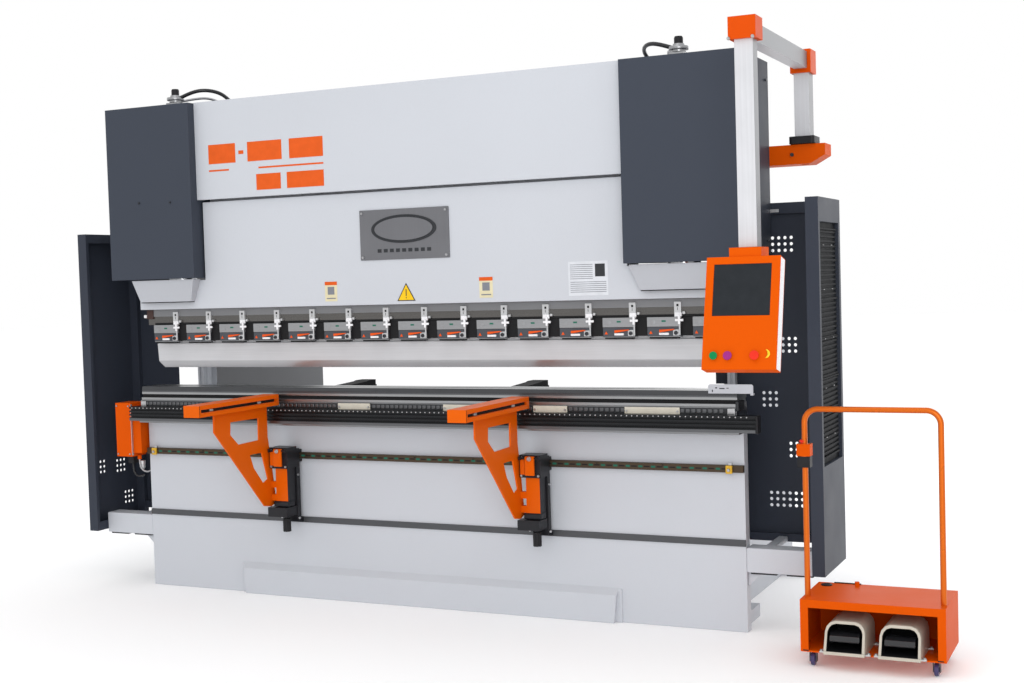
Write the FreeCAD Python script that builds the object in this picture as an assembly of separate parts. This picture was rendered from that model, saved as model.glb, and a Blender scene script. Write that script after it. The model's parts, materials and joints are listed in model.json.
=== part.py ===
"""Press brake: frame, bed, ram, tooling, back gauge, sheet supports, control pendant and pedal trolley.

Millimetres. +X runs along the bed, +Y to the back and +Z up. The origin lies on the floor, under
the middle of the bending line.
"""
import FreeCAD, Part
import math
import os

os.makedirs("parts", exist_ok=True)

# ---- driving dimensions ----
BEND_LENGTH = 3100.0            # working length of the bed
BED_HALF = BEND_LENGTH / 2
BED_FRONT = -10.0
BED_BACK = 45.0
BED_TOP = 834.0
FRAME_IN = 1370.0               # side plates, inner face
FRAME_OUT = 1405.0
FRAME_BACK = 1341.0
FRAME_TOP_BACK = 1050.0         # back edge above the pump shelf
FOOT_HEIGHT = 55.0
FRAME_TOP = 2380.0
THROAT_BACK = 330.0
TABLE_FRONT = -78.0             # crowning table and rail meet here
TABLE_BACK = 98.0
TABLE_HALF = 1540.0
DIE_BACK = 80.0
TABLE_TOP = 947.0
HOLDER_TOP = 976.0
DIE_TOP = 1015.0
V_HALF = 12.0
V_DEPTH = 14.0
RAM_HALF_Y = 40.0
RAM_HALF_X = 1480.0
RAM_NARROW = 1090.0             # half width of the ram above the rod shoulders
RAM_BOTTOM = 1323.0
SHOULDER = 1540.0
RAM_TOP = 2250.0
PANEL_FRONT = -101.0
PANEL_HALF = 1495.0
PANEL_BOTTOM = 1400.0
PANEL_TOP = 1915.0
PUNCH_HALF = 1460.0
PUNCH_TIP = 1108.0
CLAMP_PITCH = 200.0
CLAMP_COUNT = 15
CLAMP_FIRST = -1364.0
CYL_X = 1306.0
CYL_RADIUS = 100.0
ROD_RADIUS = 55.0
FIT = 0.05                      # running clearance of shafts and pins
COVER_IN = 1100.0               # cylinder covers
COVER_OUT = 1605.0
COVER_FRONT = -174.0
COVER_BACK = 287.0
COVER_BOTTOM = 1550.0
COVER_TOP = 2390.0
SHEET = 3.0                     # folded sheet thickness
UPPER_FRONT = -128.0
UPPER_BOTTOM = 1925.0
GUARD_IN = 1841.0
GUARD_OUT = 1893.0
GUARD_FRONT = -87.0
GUARD_BACK = 312.0
REAR_LEAF = 308.0               # front face of the rear leaves
HOLE_PITCH = 27.0
HOLE_RADIUS = 7.0
WINDOW_Y = (-62.0, 280.0)       # rack opening in the right guard
WINDOW_Z = (710.0, 1693.0)
GUARD_BOTTOM = 270.0
GUARD_TOP = 1791.0
GUIDE_Z = 686.0                 # brass guide along the bed front
GUIDE_HALF = 15.0
GUIDE_FRONT = -30.0
STRIP_Z = 375.0                 # lower roller strip
STRIP_HALF = 14.0
STRIP_FRONT = -16.0
RAIL_FRONT = -128.0             # grooved support rail under the die
RAIL_LEFT = -1572.0
RAIL_RIGHT = 1634.0
RAIL_BOTTOM = 848.0
RAIL_TOP = 918.0
ARM_BAR_TOP = 986.0
ARM_RIGHT = 577.0               # middles of the two sheet support arms
ARM_LEFT = -731.0
ARM_POST = 62.0                 # post to the right of the arm's middle
GAUGE_X = 900.0                 # back gauge rails
GAUGE_TOP = 850.0
FINGER_LEFT = -560.0
FINGER_RIGHT = 400.0
PIVOT_X = 1747.0                # pendant arm pivot
PIVOT_Y = 330.0
POST_Y = -580.0                 # front post of the pendant arm
BEAM_BOTTOM = 2350.0
BEAM_TOP = 2425.0
NECK_Z = 1590.0
PENDANT_TILT = 14.0
PENDANT_WIDTH = 275.0
PENDANT_HEIGHT = 418.0
PENDANT_DEPTH = 65.0
PENDANT_TOP_Y = -655.0
PENDANT_TOP_Z = 1557.0
CART_LEFT = 1872.0              # pedal trolley
CART_RIGHT = 2406.0
CART_FRONT = -430.0
CART_BACK = -110.0
CART_BOTTOM = 58.0
CART_TOP = 257.0
CART_SHEET = 6.0
HANDLE_RADIUS = 11.0
HANDLE_Y = -365.0
HANDLE_TOP = 985.0
WHEEL_RADIUS = 24.0
WHEEL_HALF = 8.0
CASTER_INSET = 40.0
CABINET_WIDTH = 550.0           # along Y, on the left side plate
CABINET_DEPTH = 300.0
CABINET_FRONT = 680.0
CABINET_BOTTOM = 480.0
CABINET_TOP = 1760.0
CABINET_HINGES = (620.0, 1560.0)
BUTTONS = ((-93.0, 10.0), (-40.0, 10.0), (60.0, 8.0))   # place from the pendant's middle, stem radius
BUTTON_HEIGHT = 50.0             # above the pendant case's bottom
PEDALS = (2042.0, 2244.0)       # middles of the two foot pedals


def box(x0, x1, y0, y1, z0, z1):
    """Block between two corners."""
    corner = FreeCAD.Vector(x0, y0, z0)
    return Part.makeBox(x1 - x0, y1 - y0, z1 - z0, corner)


def rod(radius, start, end):
    """Round bar from one point to another."""
    a = FreeCAD.Vector(*start)
    axis = FreeCAD.Vector(*end) - a
    return Part.makeCylinder(radius, axis.Length, a, axis)


def side_profile(points, x0, x1):
    """Outline given as (y, z), extruded along X."""
    corners = [FreeCAD.Vector(x0, y, z) for y, z in points]
    corners.append(corners[0])
    return Part.Face(Part.makePolygon(corners)).extrude(FreeCAD.Vector(x1 - x0, 0, 0))


def front_profile(points, y0, y1):
    """Outline given as (x, z), extruded along Y."""
    corners = [FreeCAD.Vector(x, y0, z) for x, z in points]
    corners.append(corners[0])
    return Part.Face(Part.makePolygon(corners)).extrude(FreeCAD.Vector(0, y1 - y0, 0))


def joined(*shapes):
    """Pieces welded into one solid."""
    return shapes[0].fuse(list(shapes[1:])).removeSplitter()


def mirrored(shape):
    """Copy on the other side of the machine."""
    return shape.mirror(FreeCAD.Vector(0, 0, 0), FreeCAD.Vector(1, 0, 0))


def both_sides(shape):
    """The piece and its mirror image, as two solids."""
    return Part.makeCompound([shape, mirrored(shape)])


def rounded_edges(shape, radius, test):
    """Fillet the edges whose middle passes the test."""
    edges = [e for e in shape.Edges if test(e.CenterOfMass)]
    return shape.makeFillet(radius, edges)


def save(name, shape):
    """Write one piece."""
    shape.exportStep("parts/" + name + ".step")
    print(name, len(shape.Solids), round(shape.Volume / 1e6, 2), shape.isValid())


# ---- frame ----

def side_frame():
    """Right C-shaped side plate with its feet, ram guide and the ram's position scale."""
    outline = [(BED_BACK, 0), (FRAME_BACK, 0), (FRAME_BACK, 1250), (FRAME_TOP_BACK, 1640),
               (FRAME_TOP_BACK, 2300), (FRAME_TOP_BACK - 80, FRAME_TOP), (112, FRAME_TOP),
               (112, 1600), (230, 1500), (THROAT_BACK, 1400), (THROAT_BACK, 1000), (250, 880), (TABLE_BACK + 2, 880),
               (TABLE_BACK + 2, BED_TOP), (BED_BACK, BED_TOP)]
    plate = side_profile(outline, FRAME_IN, FRAME_OUT)
    throat = [(THROAT_BACK, 1400), (THROAT_BACK, 1000), (230, 1500), (250, 880)]

    def in_throat(point):
        return any(abs(point.y - y) < 1 and abs(point.z - z) < 1 for y, z in throat)

    plate = rounded_edges(plate, 60.0, in_throat)
    plate = plate.cut(rod(45.0, (FRAME_IN - 5, 1000, 2180), (FRAME_OUT + 5, 1000, 2180)))
    feet = []
    for y in (130.0, 1120.0):
        foot = box(FRAME_IN - 45, FRAME_OUT + 115, y, y + 160, 0, FOOT_HEIGHT)
        feet.append(foot.cut(rod(11.0, (FRAME_OUT + 75, y + 80, -1), (FRAME_OUT + 75, y + 80, FOOT_HEIGHT + 1))))
    guide = [(RAM_HALF_Y + 1, 1430), (RAM_HALF_Y + 1, 1530), (120, 1530), (180, 1580), (270, 1480), (225, 1430)]
    gib = side_profile(guide, FRAME_IN, FRAME_OUT + 12)
    scale = box(FRAME_OUT, FRAME_OUT + 34, 262, 296, 800, 1545)
    scale = scale.cut(box(FRAME_OUT + 12, FRAME_OUT + 22, 261, 268, 850, 1510))
    return joined(plate, gib, scale, *feet)


def bed_plate():
    """Thick front beam with the raised toe apron."""
    plate = box(-BED_HALF, BED_HALF, BED_FRONT, BED_BACK, 0, BED_TOP)
    toe = [(BED_FRONT, 0), (BED_FRONT - 30, 0), (BED_FRONT - 30, 122), (BED_FRONT, 150)]
    apron = side_profile(toe, -995, 995)
    bevel = [(965, -1), (996, -1), (996, 151), (980, 151)]
    cutter = front_profile(bevel, BED_FRONT - 31, BED_FRONT - 8)
    apron = apron.cut(cutter).cut(mirrored(cutter))
    return joined(plate, apron)


def front_guides():
    """Brass guide rail and the lower roller strip that the support carriages run on."""
    y_back = BED_FRONT
    rail = box(-BED_HALF, BED_HALF, GUIDE_FRONT, y_back, GUIDE_Z - GUIDE_HALF, GUIDE_Z + GUIDE_HALF)
    strip = box(-BED_HALF, BED_HALF, STRIP_FRONT, y_back, STRIP_Z - STRIP_HALF, STRIP_Z + STRIP_HALF)
    return Part.makeCompound([rail, strip])


def support_rail():
    """Black extruded rail in front of the crowning table, with T grooves along its front."""
    bar = box(RAIL_LEFT, RAIL_RIGHT, RAIL_FRONT, TABLE_FRONT, RAIL_BOTTOM, RAIL_TOP)
    for z in (865.0, 882.0, 899.0):
        mouth = box(RAIL_LEFT - 1, RAIL_RIGHT + 1, RAIL_FRONT - 1, RAIL_FRONT + 8, z, z + 8)
        root = box(RAIL_LEFT - 1, RAIL_RIGHT + 1, RAIL_FRONT + 8, RAIL_FRONT + 14, z - 3, z + 11)
        bar = bar.cut(mouth).cut(root)
    return bar


def crowning_table():
    """Lower base with the crowning wedges, along the whole bed."""
    base = box(-TABLE_HALF - 10, TABLE_HALF + 10, TABLE_FRONT, TABLE_BACK, BED_TOP, 876)
    wedge = box(-TABLE_HALF, TABLE_HALF, -74, DIE_BACK, 876, TABLE_TOP)
    for z in (886.0, 906.0):
        for side in (-75.0, DIE_BACK - 6):
            wedge = wedge.cut(box(-TABLE_HALF - 1, TABLE_HALF + 1, side, side + 7, z, z + 6))
    return joined(base, wedge)


def die_holder():
    """Clamping bar that holds the die, with a dark groove along each side."""
    bar = box(-TABLE_HALF, TABLE_HALF, -66, DIE_BACK, TABLE_TOP, HOLDER_TOP)
    for side in (-67.0, DIE_BACK - 13):
        bar = bar.cut(box(-TABLE_HALF - 1, TABLE_HALF + 1, side, side + 14, 960, HOLDER_TOP + 1))
    return bar


def lower_die():
    """Bottom tool with one V groove along its top."""
    top = [(-62, HOLDER_TOP), (DIE_BACK, HOLDER_TOP), (DIE_BACK, 1003), (DIE_BACK - 4, DIE_TOP), (V_HALF, DIE_TOP),
           (0.0, DIE_TOP - V_DEPTH), (-V_HALF, DIE_TOP), (-58, DIE_TOP), (-62, 1003), (-62, 993), (-59, 990), (-62, 987)]
    return side_profile(top, -TABLE_HALF, TABLE_HALF)


def die_end_bracket():
    """Folded sheet bracket clipped over the right end of the die, with a lip at its free end."""
    plate = box(1419, 1609, -66, -62.2, 1003, 1041)
    plate = rounded_edges(plate, 9.0, lambda p: abs(p.y + 64.1) < 0.5 and p.z > 1035)
    flange = box(1419, 1538, -63, -14, DIE_TOP, DIE_TOP + 4)
    lip = box(1597, 1609, -66, -44, 996, 1004)
    return joined(plate, flange, lip)


def rear_cross_beam():
    """Box tie between the side plates, low at the back."""
    outer = box(-FRAME_IN, FRAME_IN, 1180, 1330, 560, 760)
    inner = box(-FRAME_IN - 1, FRAME_IN + 1, 1190, 1320, 570, 750)
    return outer.cut(inner)


def oil_tank():
    """Oil tank, which also ties the side plates at the top, with a filler neck."""
    outer = box(-FRAME_IN, FRAME_IN, 300, 640, 1960, 2320)
    inner = box(-FRAME_IN + 5, FRAME_IN - 5, 305, 635, 1965, 2315)
    shell = outer.cut(inner)
    filler = rod(30.0, (-500, 470, 2320), (-500, 470, 2360))
    shelf = box(-520, 520, 640, 1090, 1960, 1972)
    ribs = [side_profile([(640, 1960), (1060, 1960), (640, 1800)], x, x + 10) for x in (-500.0, 490.0)]
    skirt = box(-520, 520, 634, 640, 1790, 1961)
    return joined(shell, filler, shelf, skirt, *ribs)


def hydraulic_unit():
    """Electric motor, bell housing and pump lying on the shelf, on two saddle feet."""
    y = 850.0
    z = 2132.0
    motor = rod(135.0, (-420, y, z), (10, y, z))
    fan = rod(128.0, (-480, y, z), (-420, y, z))
    bell = rod(95.0, (10, y, z), (130, y, z))
    pump = rod(62.0, (130, y, z), (330, y, z))
    feet = [box(x, x + 60, y - 110, y + 110, 1972, z - 60) for x in (-380.0, -100.0)]
    terminals = box(-260, -120, y - 60, y + 60, z + 100, z + 185)
    manifold = box(380, 500, y - 100, y + 100, 1972, 2150)
    pipe = rod(14.0, (330, y, z), (381, y, z))
    return joined(motor, fan, bell, pump, terminals, manifold, pipe, *feet)


def cylinder():
    """Right hydraulic cylinder: barrel with its seat plates, gland and bore."""
    x = CYL_X
    barrel = rod(CYL_RADIUS, (x, 0, 1650), (x, 0, 2330))
    seats = [box(x - 112, x + 112, -108, 112, z, z + 45) for z in (1650.0, 2285.0)]
    body = joined(barrel, *seats)
    body = body.cut(rod(75.0, (x, 0, 1695), (x, 0, 2300)))
    return body.cut(rod(ROD_RADIUS + FIT, (x, 0, 1649), (x, 0, 1700)))


def prefill_valve():
    """Right prefill valve standing on the cylinder head."""
    x = CYL_X
    base = box(x - 48, x + 48, -48, 48, 2330, 2400)
    neck = rod(34.0, (x, 0, 2400), (x, 0, 2455))
    flange = rod(42.0, (x, 0, 2420), (x, 0, 2432))
    cap = rod(19.0, (x, 0, 2455), (x, 0, 2492))
    return joined(base, neck, flange, cap)


def rounded_tube(points, radius):
    """Pipe along straight runs joined by tangent arcs."""
    nodes = [FreeCAD.Vector(*p) for p in points]
    edges = []
    last = nodes[0]
    for before, corner, after in zip(nodes, nodes[1:], nodes[2:]):
        into = corner - before
        out = after - corner
        turn = into.getAngle(out)
        bend = 0.45 * min(into.Length, out.Length) / math.tan(turn / 2)
        back = bend * math.tan(turn / 2)
        start = corner - into.normalize() * back
        end = corner + out.normalize() * back
        middle_way = (end - corner).normalize() + (start - corner).normalize()
        centre = corner + middle_way.normalize() * (bend / math.cos(turn / 2))
        middle = centre - middle_way * bend
        edges.append(Part.LineSegment(last, start).toShape())
        edges.append(Part.Arc(start, middle, end).toShape())
        last = end
    edges.append(Part.LineSegment(last, nodes[-1]).toShape())
    path = Part.Wire(edges)
    first = (nodes[1] - nodes[0]).normalize()
    ring = Part.Wire(Part.makeCircle(radius, nodes[0], first))
    tube = path.makePipeShell([ring], True, False, 2)
    expected = math.pi * radius ** 2 * path.Length
    print("  tube length", round(path.Length, 1), "volume ratio", round(tube.Volume / expected, 4))
    return tube


def valve_hoses():
    """Two oil hoses from the right prefill valve back to the tank."""
    x = CYL_X
    hose = rounded_tube([(x - 20, 0, 2440), (x - 85, 8, 2466), (x - 150, 40, 2478), (x - 195, 105, 2466),
                         (x - 198, 180, 2434), (x - 180, 255, 2404), (x - 176, 322, 2376), (x - 180, 372, 2352),
                         (x - 180, 372, 2320)], 9.0)
    inner = rounded_tube([(x - 14, 20, 2428), (x - 65, 80, 2446), (x - 98, 150, 2452), (x - 116, 235, 2430),
                          (x - 122, 310, 2392), (x - 124, 366, 2354), (x - 124, 366, 2320)], 6.0)
    return [hose, inner]


def cylinder_cover():
    """Right sheet box round the cylinder, open at the back and round the rod."""
    outer = box(COVER_IN, COVER_OUT, COVER_FRONT, COVER_BACK, COVER_BOTTOM, COVER_TOP)
    inner = box(COVER_IN + SHEET, COVER_OUT - SHEET, COVER_FRONT + SHEET, COVER_BACK + 1,
                COVER_BOTTOM + SHEET, COVER_TOP - SHEET)
    shell = outer.cut(inner)
    rod_way = box(CYL_X - 125, CYL_X + 125, -115, COVER_BACK + 1, COVER_BOTTOM - 1, COVER_BOTTOM + SHEET + 1)
    valve_way = box(CYL_X - 62, CYL_X + 62, -62, 62, COVER_TOP - SHEET - 1, COVER_TOP + 1)
    hose_way = box(CYL_X - 230, CYL_X - 61, 200, COVER_BACK + 1, COVER_TOP - SHEET - 1, COVER_TOP + 1)
    return shell.cut(rod_way).cut(valve_way).cut(hose_way)


def upper_front_cover():
    """Fixed folded cover across the top, with a lid and bottom return in front of the ram."""
    edge = COVER_IN
    front = box(-edge, edge, UPPER_FRONT, UPPER_FRONT + SHEET, UPPER_BOTTOM, 2393)
    lid = box(-edge, edge, UPPER_FRONT, 290, 2390, 2393)
    lip = box(-edge, edge, UPPER_FRONT, -104, UPPER_BOTTOM, UPPER_BOTTOM + SHEET)
    back = box(-edge, edge, 287, 290, 2330, 2393)
    return joined(front, lid, lip, back)


def crowning_motor_box():
    """Sheet housing of the crowning motor at the left end, with its side cover and bottom plugs."""
    case = box(-1709, -1612, -70, 36, 658, 930)
    side = box(-1612, -1561, -58, 36, 676, 905)
    arm = box(-1640, -TABLE_HALF - 10, 36, 76, 838, 872)
    plug = rod(13.0, (-1650, -20, 618), (-1650, -20, 658))
    gland = rod(10.0, (-1608, -20, 640), (-1608, -20, 660))
    return joined(case, side, plug, gland, arm)


def crowning_motor_cable():
    """Short cable from the gland under the motor box to the end of the bed."""
    return rounded_tube([(-1608, -20, 640), (-1608, -20, 608), (-1600, -10, 582), (-1584, 8, 570),
                         (-1568, 26, 582), (-1550, 26, 582)], 4.0)


def perforated(sheet, grids, along_y):
    """Sheet with grids of round air holes; a grid is its first hole, columns and rows."""
    for across, up, columns, rows in grids:
        for column in range(columns):
            for row in range(rows):
                a = across + HOLE_PITCH * column
                z = up - HOLE_PITCH * row
                if along_y:
                    hole = rod(HOLE_RADIUS, (GUARD_OUT - SHEET - 2, a, z), (GUARD_OUT + 2, a, z))
                else:
                    hole = rod(HOLE_RADIUS, (a, REAR_LEAF - 2, z), (a, GUARD_BACK + 2, z))
                sheet = sheet.cut(hole)
    return sheet


def guard(side):
    """Side guard: outer tray open to the machine, rear leaf and its rims; side is +1 or -1."""
    tray = box(GUARD_IN, GUARD_OUT, GUARD_FRONT, GUARD_BACK, GUARD_BOTTOM, GUARD_TOP)
    tray = tray.cut(box(GUARD_IN - 1, GUARD_OUT - SHEET, GUARD_FRONT + SHEET, GUARD_BACK - 30,
                        GUARD_BOTTOM + SHEET, GUARD_TOP - SHEET))
    rim = box(GUARD_IN, GUARD_IN + SHEET, GUARD_FRONT, GUARD_BACK - 20, GUARD_BOTTOM, GUARD_TOP)
    rim = rim.cut(box(GUARD_IN - 1, GUARD_IN + SHEET + 1, GUARD_FRONT + 18, GUARD_BACK - 30,
                      GUARD_BOTTOM + 45, GUARD_TOP - 45))
    if side > 0:
        leaf_start = FRAME_OUT + 6
        grids = ((1605, 1642, 4, 3), (1641, 1209, 3, 3), (1553, 975, 3, 3), (1666, 757, 3, 3), (1577, 541, 6, 3))
        tray = tray.cut(box(GUARD_OUT - SHEET - 1, GUARD_OUT + 1, *WINDOW_Y, *WINDOW_Z))
        rack_y = (WINDOW_Y[0] - 12, WINDOW_Y[1] + 12)
        rack_z = (WINDOW_Z[0] - 12, WINDOW_Z[1] + 12)
        rack = box(GUARD_IN + SHEET + 5, GUARD_OUT - SHEET, *rack_y, *rack_z)
        rack = rack.cut(box(GUARD_OUT - 16, GUARD_OUT, *WINDOW_Y, *WINDOW_Z))
    else:
        leaf_start = 1600.0
        grids = ()
        tray = perforated(tray, ((8, 614, 2, 3), (135, 604, 3, 3), (190, 430, 3, 3)), True)
        rack = None
    rear = perforated(box(leaf_start, GUARD_IN, REAR_LEAF, GUARD_BACK, 333, GUARD_TOP), grids, False)
    rims = [box(leaf_start, GUARD_IN, REAR_LEAF - 20, REAR_LEAF, z, z + height)
            for z, height in ((333.0, 34.0), (GUARD_TOP - 47, 47.0))]
    whole = joined(tray, rim, rear, *rims)
    if side > 0:
        whole = joined(whole, rack, box(1335, leaf_start, 322, 326, 1012, 1330), box(1400, 1420, 308, 326, 1012, 1330))
        return whole
    return mirrored(whole)


def guard_beam():
    """Right welded tube that carries a guard off the end of the bed, with its gusset."""
    tube = box(BED_HALF, GUARD_IN, BED_FRONT, 80, 253, 356)
    tube = tube.cut(box(BED_HALF + 6, GUARD_IN - 6, BED_FRONT + 6, 74, 259, 350))
    gusset = front_profile([(BED_HALF, 190), (BED_HALF + 64, 253), (BED_HALF, 253)], 10, 18)
    back = box(1610, 1650, 80, REAR_LEAF - 20, 334, 356)
    return joined(tube, gusset, back)


def pendant_bracket():
    """Arm bolted to the right side plate that carries the pendant arm, with its bush."""
    arm = front_profile([(FRAME_OUT, 1950), (1778, 1950), (1842, 1985), (1842, 2033), (FRAME_OUT, 2033)], 291, 408)
    flange = box(FRAME_OUT, FRAME_OUT + 12, 291, 470, 1920, 2060)
    collar = rod(36.0, (PIVOT_X, PIVOT_Y, 2032), (PIVOT_X, PIVOT_Y, 2034))
    body = joined(arm, flange, collar)
    return body.cut(rod(18.0 + FIT, (PIVOT_X, PIVOT_Y, 1949), (PIVOT_X, PIVOT_Y, 2035)))


def hung_on_left(shape):
    """Turn a shape built with its back on Y = 0 so that its back lies on the left side plate."""
    turned = shape.copy()
    turned.rotate(FreeCAD.Vector(0, 0, 0), FreeCAD.Vector(0, 0, 1), 90)
    turned.translate(FreeCAD.Vector(-FRAME_OUT, CABINET_FRONT, 0))
    return turned


def electrical_cabinet():
    """Steel cabinet on the outer face of the left side plate, open towards its door."""
    z0 = CABINET_BOTTOM
    z1 = CABINET_TOP
    shell = box(0, CABINET_WIDTH, 0, CABINET_DEPTH, z0, z1)
    shell = shell.cut(box(4, CABINET_WIDTH - 4, 4, CABINET_DEPTH + 1, z0 + 4, z1 - 4))
    plate = box(40, CABINET_WIDTH - 40, 30, 34, z0 + 60, z1 - 60)
    studs = [box(x, x + 20, 4, 30, z, z + 20) for x in (60, CABINET_WIDTH - 80) for z in (z0 + 90, z1 - 110)]
    gear = [box(80, CABINET_WIDTH - 80, 34, 120, z, z + 130) for z in (z0 + 160, z0 + 480, z0 + 820)]
    knuckles = []
    for z in CABINET_HINGES:
        knuckles.append(rod(8.0, (CABINET_WIDTH + 10, CABINET_DEPTH + 10, z),
                            (CABINET_WIDTH + 10, CABINET_DEPTH + 10, z + 60)))
        knuckles.append(box(CABINET_WIDTH - 1, CABINET_WIDTH + 10, CABINET_DEPTH - 30, CABINET_DEPTH + 8, z, z + 60))
        knuckles.append(rod(3.0, (CABINET_WIDTH + 10, CABINET_DEPTH + 10, z + 60),
                            (CABINET_WIDTH + 10, CABINET_DEPTH + 10, z + 100)))
    return hung_on_left(joined(shell, plate, *(studs + gear + knuckles)))


def gauge_rails():
    """Two rails of the back gauge, from the bed to the rear cross beam."""
    rails = []
    for x in (-GAUGE_X, GAUGE_X):
        beam = box(x - 40, x + 40, BED_BACK, 1180, 690, 830)
        top = box(x - 14, x + 14, BED_BACK + 60, 1160, 830, GAUGE_TOP)
        rails.append(joined(beam, top))
    return Part.makeCompound(rails)


# ---- ram ----

def ram_plate():
    """Upper beam: wide at the tooling, narrow above the shoulders that the rods push on."""
    outline = [(-RAM_HALF_X, RAM_BOTTOM), (RAM_HALF_X, RAM_BOTTOM), (RAM_HALF_X, SHOULDER),
               (RAM_NARROW, SHOULDER), (RAM_NARROW, RAM_TOP), (-RAM_NARROW, RAM_TOP),
               (-RAM_NARROW, SHOULDER), (-RAM_HALF_X, SHOULDER)]
    return front_profile(outline, -RAM_HALF_Y, RAM_HALF_Y)


def ram_front_panel():
    """Folded panel over the front of the ram, painted with the machine."""
    outline = [(-PANEL_HALF, PANEL_BOTTOM), (PANEL_HALF, PANEL_BOTTOM), (PANEL_HALF, SHOULDER),
               (RAM_NARROW, SHOULDER), (RAM_NARROW, PANEL_TOP), (-RAM_NARROW, PANEL_TOP),
               (-RAM_NARROW, SHOULDER), (-PANEL_HALF, SHOULDER)]
    outer = front_profile(outline, PANEL_FRONT, -RAM_HALF_Y)
    edge = 6.0
    hollow = [(-PANEL_HALF + edge, PANEL_BOTTOM + edge), (PANEL_HALF - edge, PANEL_BOTTOM + edge),
              (PANEL_HALF - edge, SHOULDER - edge), (RAM_NARROW - edge, SHOULDER - edge),
              (RAM_NARROW - edge, PANEL_TOP - edge), (-RAM_NARROW + edge, PANEL_TOP - edge),
              (-RAM_NARROW + edge, SHOULDER - edge), (-PANEL_HALF + edge, SHOULDER - edge)]
    return outer.cut(front_profile(hollow, PANEL_FRONT + edge, -RAM_HALF_Y + 1))


def rod_cover():
    """Right tapered casing in front of the rod end, narrower and shallower at its foot."""
    outline = [(1156, 1437), (1464, 1437), (1494, 1545), (1118, 1545)]
    block = front_profile(outline, -160, PANEL_FRONT)
    foot = side_profile([(-161, 1430), (-132, 1430), (-161, 1550)], 1100, 1500)
    return block.cut(foot)


def piston_rod():
    """Right rod with its piston in the cylinder and its foot on the ram's shoulder."""
    x = CYL_X
    bar = rod(ROD_RADIUS, (x, 0, SHOULDER + 40), (x, 0, 2180))
    piston = rod(75.0 - FIT, (x, 0, 2180), (x, 0, 2240))
    foot = rod(72.0, (x, 0, SHOULDER), (x, 0, SHOULDER + 40))
    screws = [rod(6.0, (x + 63 * math.cos(a), 63 * math.sin(a), SHOULDER + 40),
                  (x + 63 * math.cos(a), 63 * math.sin(a), SHOULDER + 48))
              for a in [math.pi / 4 + i * math.pi / 2 for i in range(4)]]
    return joined(bar, piston, foot, *screws)


def clamp_rail():
    """Ground bar along the foot of the ram that the tool clamps are bolted to."""
    bar = box(-RAM_HALF_X, RAM_HALF_X, -60, -RAM_HALF_Y, RAM_BOTTOM, PANEL_BOTTOM)
    knob = rod(12.0, (-RAM_HALF_X - 24, -50, 1366), (-RAM_HALF_X, -50, 1366))
    return joined(bar, knob)


def tool_clamps():
    """Row of clamps: a bridge over the punch tang, a front jaw and a strap up to the rail."""
    clamps = []
    for i in range(CLAMP_COUNT):
        x = CLAMP_FIRST + CLAMP_PITCH * i
        jaw = side_profile([(-62, RAM_BOTTOM), (-16, RAM_BOTTOM), (-16, 1240), (-70, 1240), (-75, 1246),
                            (-75, 1280), (-64, 1286)], x - 74, x + 74)
        bridge = box(x - 74, x + 74, -20, 38, 1300, RAM_BOTTOM)
        back = box(x - 74, x + 74, 16, 38, 1240, 1300)
        strap = box(x + 48, x + 78, -72, -60, 1290, 1386)
        clamps.append(joined(jaw, bridge, back, strap))
    return Part.makeCompound(clamps)


def clamp_levers():
    """Row of quick-release levers on the clamp jaws."""
    levers = []
    for i in range(CLAMP_COUNT):
        x = CLAMP_FIRST + CLAMP_PITCH * i
        levers.append(box(x - 14, x + 48, -84, -75, 1258, 1270))
    return Part.makeCompound(levers)


def upper_punch():
    """Top tool with its tang, straight body and tapered nose; lower corners cut back."""
    outline = [(-15, 1298), (15, 1298), (15, 1228), (26, 1228), (26, 1180), (10, 1142), (0.8, PUNCH_TIP),
               (-0.8, PUNCH_TIP), (-17, 1142), (-24, 1228), (-15, 1228)]
    punch = side_profile(outline, -PUNCH_HALF, PUNCH_HALF)
    corner = front_profile([(PUNCH_HALF - 24, 1107), (PUNCH_HALF + 1, 1107), (PUNCH_HALF + 1, 1138)], -30, 30)
    return punch.cut(corner).cut(mirrored(corner))


# ---- back gauge ----

def gauge_carriage():
    """Carriage that runs on the two rails and guides the beam up and down."""
    pieces = [box(-785, 785, 540, 600, 700, 760)]
    for side in (-1, 1):
        inner = sorted((side * 770.0, side * 800.0))
        shoe = sorted((side * 800.0, side * 955.0))
        block = box(shoe[0], shoe[1], 500, 640, GAUGE_TOP + 0.5, 886)
        block = joined(block, box(inner[0], inner[1], 520, 640, 700, 955))
        pieces.append(block)
    return joined(*pieces)


def gauge_beam():
    """Cross beam that carries the stop fingers, with a guide rail along its front."""
    beam = box(-795, 795, 446, 515, 875, 950)
    guide = box(-785, 785, 438, 446, 900, 925)
    shoes = [box(x, x + 24, 515, 519.5, 835, 950) for x in (-795.0, 771.0)]
    return joined(beam, guide, *shoes)


def gauge_finger(x):
    """Sliding stop: saddle over the beam, long arm and a stepped steel tip."""
    saddle = box(x - 45, x + 45, 424, 519, 950.5, 985)
    apron = box(x - 45, x + 45, 424, 437.5, 880, 985)
    arm = side_profile([(200, 985), (519, 985), (519, 1010), (452, 1010), (430, 1006), (200, 997)], x - 40, x + 40)
    tip = side_profile([(84, 985), (201, 985), (201, 995), (110, 995), (84, 990)], x - 34, x + 34)
    return joined(saddle, apron, arm, tip)


# ---- front sheet supports ----

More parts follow.
